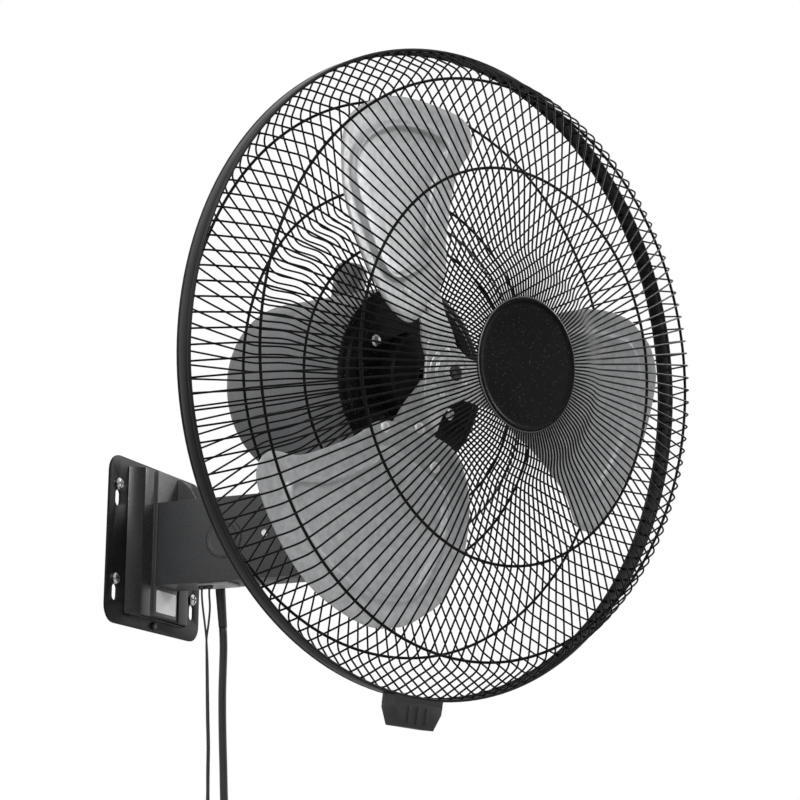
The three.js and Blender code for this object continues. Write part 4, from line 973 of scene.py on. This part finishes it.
def soften_edges():
    for node, width in SOFT_EDGES.items():
        softened(node, width)


def wall_piece(name, part, material):
    """A piece given in millimetres in the row frame, which stays with the wall."""
    verts, faces = part
    piece = mesh_piece(name, verts * MM, faces, material)
    tidy_normals(piece)
    crease(piece, 30)
    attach(piece, "wall_bracket")
    return piece


LABEL_BOX = {"left": -16.0, "right": 17.0, "low": -57.0, "high": -38.0, "face": -13.6, "thick": 0.2,
             "corner": 1.5}


def slide_label():
    """A blank film label with rounded corners on the slide's front."""
    corner, face, outline = LABEL_BOX["corner"], LABEL_BOX["face"], []
    left, right = LABEL_BOX["left"] + corner, LABEL_BOX["right"] - corner
    low, high = LABEL_BOX["low"] + corner, LABEL_BOX["high"] - corner
    for quarter, (x, z) in enumerate([(right, high), (left, high), (left, low), (right, low)]):
        outline += [(x + corner * math.cos(a), z + corner * math.sin(a))
                    for a in np.linspace(quarter, quarter + 1, 6) * math.pi / 2]
    part = extruded(outline, face, face - LABEL_BOX["thick"])
    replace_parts(wall_piece("slide_label", part, LABEL), "arm_slide")


# Dark crosses standing in for each screw head's recess, as painted shade.
SCREW_CROSS = {"reach": 3.1, "half": 0.6, "sunk": -4.3, "face": -5.42}
PLATE_SCREWS = [f"plate_screw_{i}" for i in range(1, 5)]


def screw_crosses():
    """The cross recess in each wall screw's head, drawn as a dark solid cross: painted shade."""
    reach, half = SCREW_CROSS["reach"], SCREW_CROSS["half"]
    quarter = [(reach, -half), (reach, half), (half, half)]
    outline = [(x * math.cos(a) - z * math.sin(a), x * math.sin(a) + z * math.cos(a))
               for a in np.arange(4) * math.pi / 2 for x, z in quarter]
    parts = []
    for name in PLATE_SCREWS:
        node = frame["nodes"][name]
        corners = np.array([node.matrix_world @ vert.co for vert in node.data.vertices])
        across, _, up = (corners.min(0) + corners.max(0)) / 2 / MM
        here = [(across + x, up + z) for x, z in outline]
        parts.append(extruded(here, SCREW_CROSS["sunk"], SCREW_CROSS["face"]))
    wall_piece("plate_screw_cross_shade", merged(parts), DARK_METAL_AND_SHADE)


slide_label()
screw_crosses()
front_guard()
rear_guard()
rim_band()
clip_saddle()
guard_cap()
blades()
hub()
nut()
shaft_end()
motor_cover()
cover_boss()
soften_edges()

# -------------------------------- light and floor

FLOOR = {"half": 12.0, "below": 0.5, "dark": (0.84, 0.84, 0.84), "pale": (0.88, 0.88, 0.88)}
AMBIENT = 0.40
BACKDROP = 1.0
KEY_LAMP = {"place": (-1.8, -1.2, 1.2), "power": 22.0, "size": 0.9}
RAKE_LAMP = {"place": RIM_CENTRE + HEAD_SIDE * 1.5 + HEAD_UP * 1.0 + FORWARD * 0.08, "power": 11.0,
             "size": 0.5}


def lay_floor():
    half, height = FLOOR["half"], CAD_BOX[0][2] - FLOOR["below"]
    corners = [(-half, -half, height), (half, -half, height), (half, half, height), (-half, half, height)]
    made = Nodes("floor", (0.86, 0.86, 0.86), 0.7)
    tone = made.ramp(made.noise(3.0))
    made.color(made.mix(tone, FLOOR["dark"], FLOOR["pale"]))
    floor = mesh_piece("floor", corners, [(0, 1, 2, 3)], made.material, smooth=False)


def background(tree, strength):
    node = tree.nodes.new("ShaderNodeBackground")
    node.inputs["Color"].default_value = (1, 1, 1, 1)
    node.inputs["Strength"].default_value = strength
    return node.outputs[0]


def light_world():
    """White where it is seen, mirrored or looked through to, and a dimmer ambient light everywhere else."""
    world = bpy.data.worlds.new("studio")
    bpy.context.scene.world = world
    world.use_nodes = True
    tree = world.node_tree
    tree.nodes.clear()
    rays = tree.nodes.new("ShaderNodeLightPath")
    seen = rays.outputs["Is Camera Ray"]
    for ray in ("Is Glossy Ray", "Is Transmission Ray"):
        either = tree.nodes.new("ShaderNodeMath")
        either.operation = "MAXIMUM"
        tree.links.new(seen, either.inputs[0])
        tree.links.new(rays.outputs[ray], either.inputs[1])
        seen = either.outputs[0]
    mix = tree.nodes.new("ShaderNodeMixShader")
    out = tree.nodes.new("ShaderNodeOutputWorld")
    tree.links.new(seen, mix.inputs[0])
    tree.links.new(background(tree, AMBIENT), mix.inputs[1])
    tree.links.new(background(tree, BACKDROP), mix.inputs[2])
    tree.links.new(mix.outputs[0], out.inputs["Surface"])


def add_lamp(name, place, power, size):
    data = bpy.data.lights.new(name, "AREA")
    data.energy = power
    data.size = size
    lamp = bpy.data.objects.new(name, data)
    lamp.location = place
    lamp.rotation_euler = (AIM - Vector(place)).to_track_quat("-Z", "Y").to_euler()
    bpy.context.collection.objects.link(lamp)


lay_floor()
light_world()
add_lamp("key", **KEY_LAMP)
add_lamp("rake", **RAKE_LAMP)

bpy.context.scene.view_settings.view_transform = "Standard"

# -------------------------------- cords

# Millimetres in the row frame.
LEAD_DIAMETER = 6.8
LEAD_SIDES = 14
LEAD_SPACING = 5.0
LEAD_EXIT = (14.878, -62.373, -68.823)
COIL = {"centre": (55, -67, -302), "turns": 6.25, "layers": 4, "middle": 39.5, "pitch": 7.6, "lead_in": 7,
        "tail": 34, "climb": 0.25, "steps": 36}
COIL_OUTER = COIL["middle"] + COIL["turns"] / COIL["layers"] * COIL["pitch"] / 2
COIL_TOP = COIL["centre"][2] + COIL_OUTER
COIL_START = COIL["centre"][0] - COIL["lead_in"]
LEAD_ROUTE = [
    LEAD_EXIT, (15.6, -63, -84), (15.6, -63, -104), (15.4, -63, -124), (15.4, -63.6, -146),
    (15.6, -64.5, -168), (15.8, -65.6, -190), (16, -66.6, -212), (16.5, -67, COIL_TOP + 36),
    (19, -67, COIL_TOP + 20), (26, -67, COIL_TOP + 7), (36, -67, COIL_TOP + 0.8), (COIL_START, -67, COIL_TOP),
]
PULL_DIAMETER = 1.8
PULL_SIDES = 10
PULL_SPACING = 3.0
PULL_ROUTES = {
    "speed": [(-12, -56, -31.5), (-12, -56, -44), (-12, -57.4, -56), (-11.6, -59.2, -68), (-10.9, -60.9, -82),
              (-10.7, -62.3, -99), (-10.7, -63.6, -124), (-10.7, -64.9, -151), (-10.7, -66, -172),
              (-10.7, -66.3, -193), (-10.7, -66.8, -215), (-9, -67, -235), (-6.6, -67, -252), (-6, -67, -262),
              (-6, -67, -270)],
    "swing": [(-12, -63.2, -31.5), (-12, -63.2, -44), (-12.2, -64.3, -56), (-12.6, -63.6, -70),
              (-13.1, -62.4, -82), (-13.3, -62.9, -99), (-13.3, -63.8, -124), (-13.3, -64.9, -151),
              (-13.3, -66, -172), (-13.3, -66.3, -193), (-13.3, -66.8, -215), (-15, -67, -238),
              (-18, -67, -262), (-19, -67, -284), (-19, -67, -292)],
}


def coil_point(t):
    """The stored lead spirals in and out in layers, and climbs a layer where the spiral reverses."""
    per_layer = COIL["turns"] / COIL["layers"]
    layer = min(int(t // per_layer), COIL["layers"] - 1)
    within = t - layer * per_layer
    swept = within if layer % 2 == 0 else per_layer - within
    radius = COIL_OUTER - COIL["pitch"] * swept
    ease = COIL["climb"]
    climb = sum(smoothstep(t, k * per_layer - ease, k * per_layer + ease) for k in range(1, COIL["layers"]))
    turn = math.pi / 2 - 2 * math.pi * t
    x, y, z = COIL["centre"]
    return (x + radius * math.cos(turn), y + COIL["pitch"] * climb, z + radius * math.sin(turn))


def lead_path():
    loops = [coil_point(t) for t in np.linspace(0, COIL["turns"], int(COIL["turns"] * COIL["steps"]) + 1)]
    end = loops[-1]
    tail = [(end[0], end[1], end[2] - drop) for drop in np.linspace(0, COIL["tail"], 5)[1:]]
    free = smooth_route(LEAD_ROUTE, LEAD_SPACING)
    return np.concatenate([free, np.array(loops), np.array(tail)]) * MM


def add_cords():
    path = lead_path()
    verts, faces = tube(path, LEAD_DIAMETER / 2 * MM, LEAD_SIDES)
    lead = mesh_piece("mains_lead", verts, faces, JACKET)
    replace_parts(lead, "power_cord", "power_cord_coil")
    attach(lead, "wall_bracket")
    for name, route in PULL_ROUTES.items():
        line = smooth_route(route, PULL_SPACING) * MM
        verts, faces = tube(line, PULL_DIAMETER / 2 * MM, PULL_SIDES)
        pull = mesh_piece(f"pull_line_{name}", verts, faces, JACKET)
        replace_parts(pull, f"pull_cord_{name}")
        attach(pull, f"pull_{name}")


add_cords()
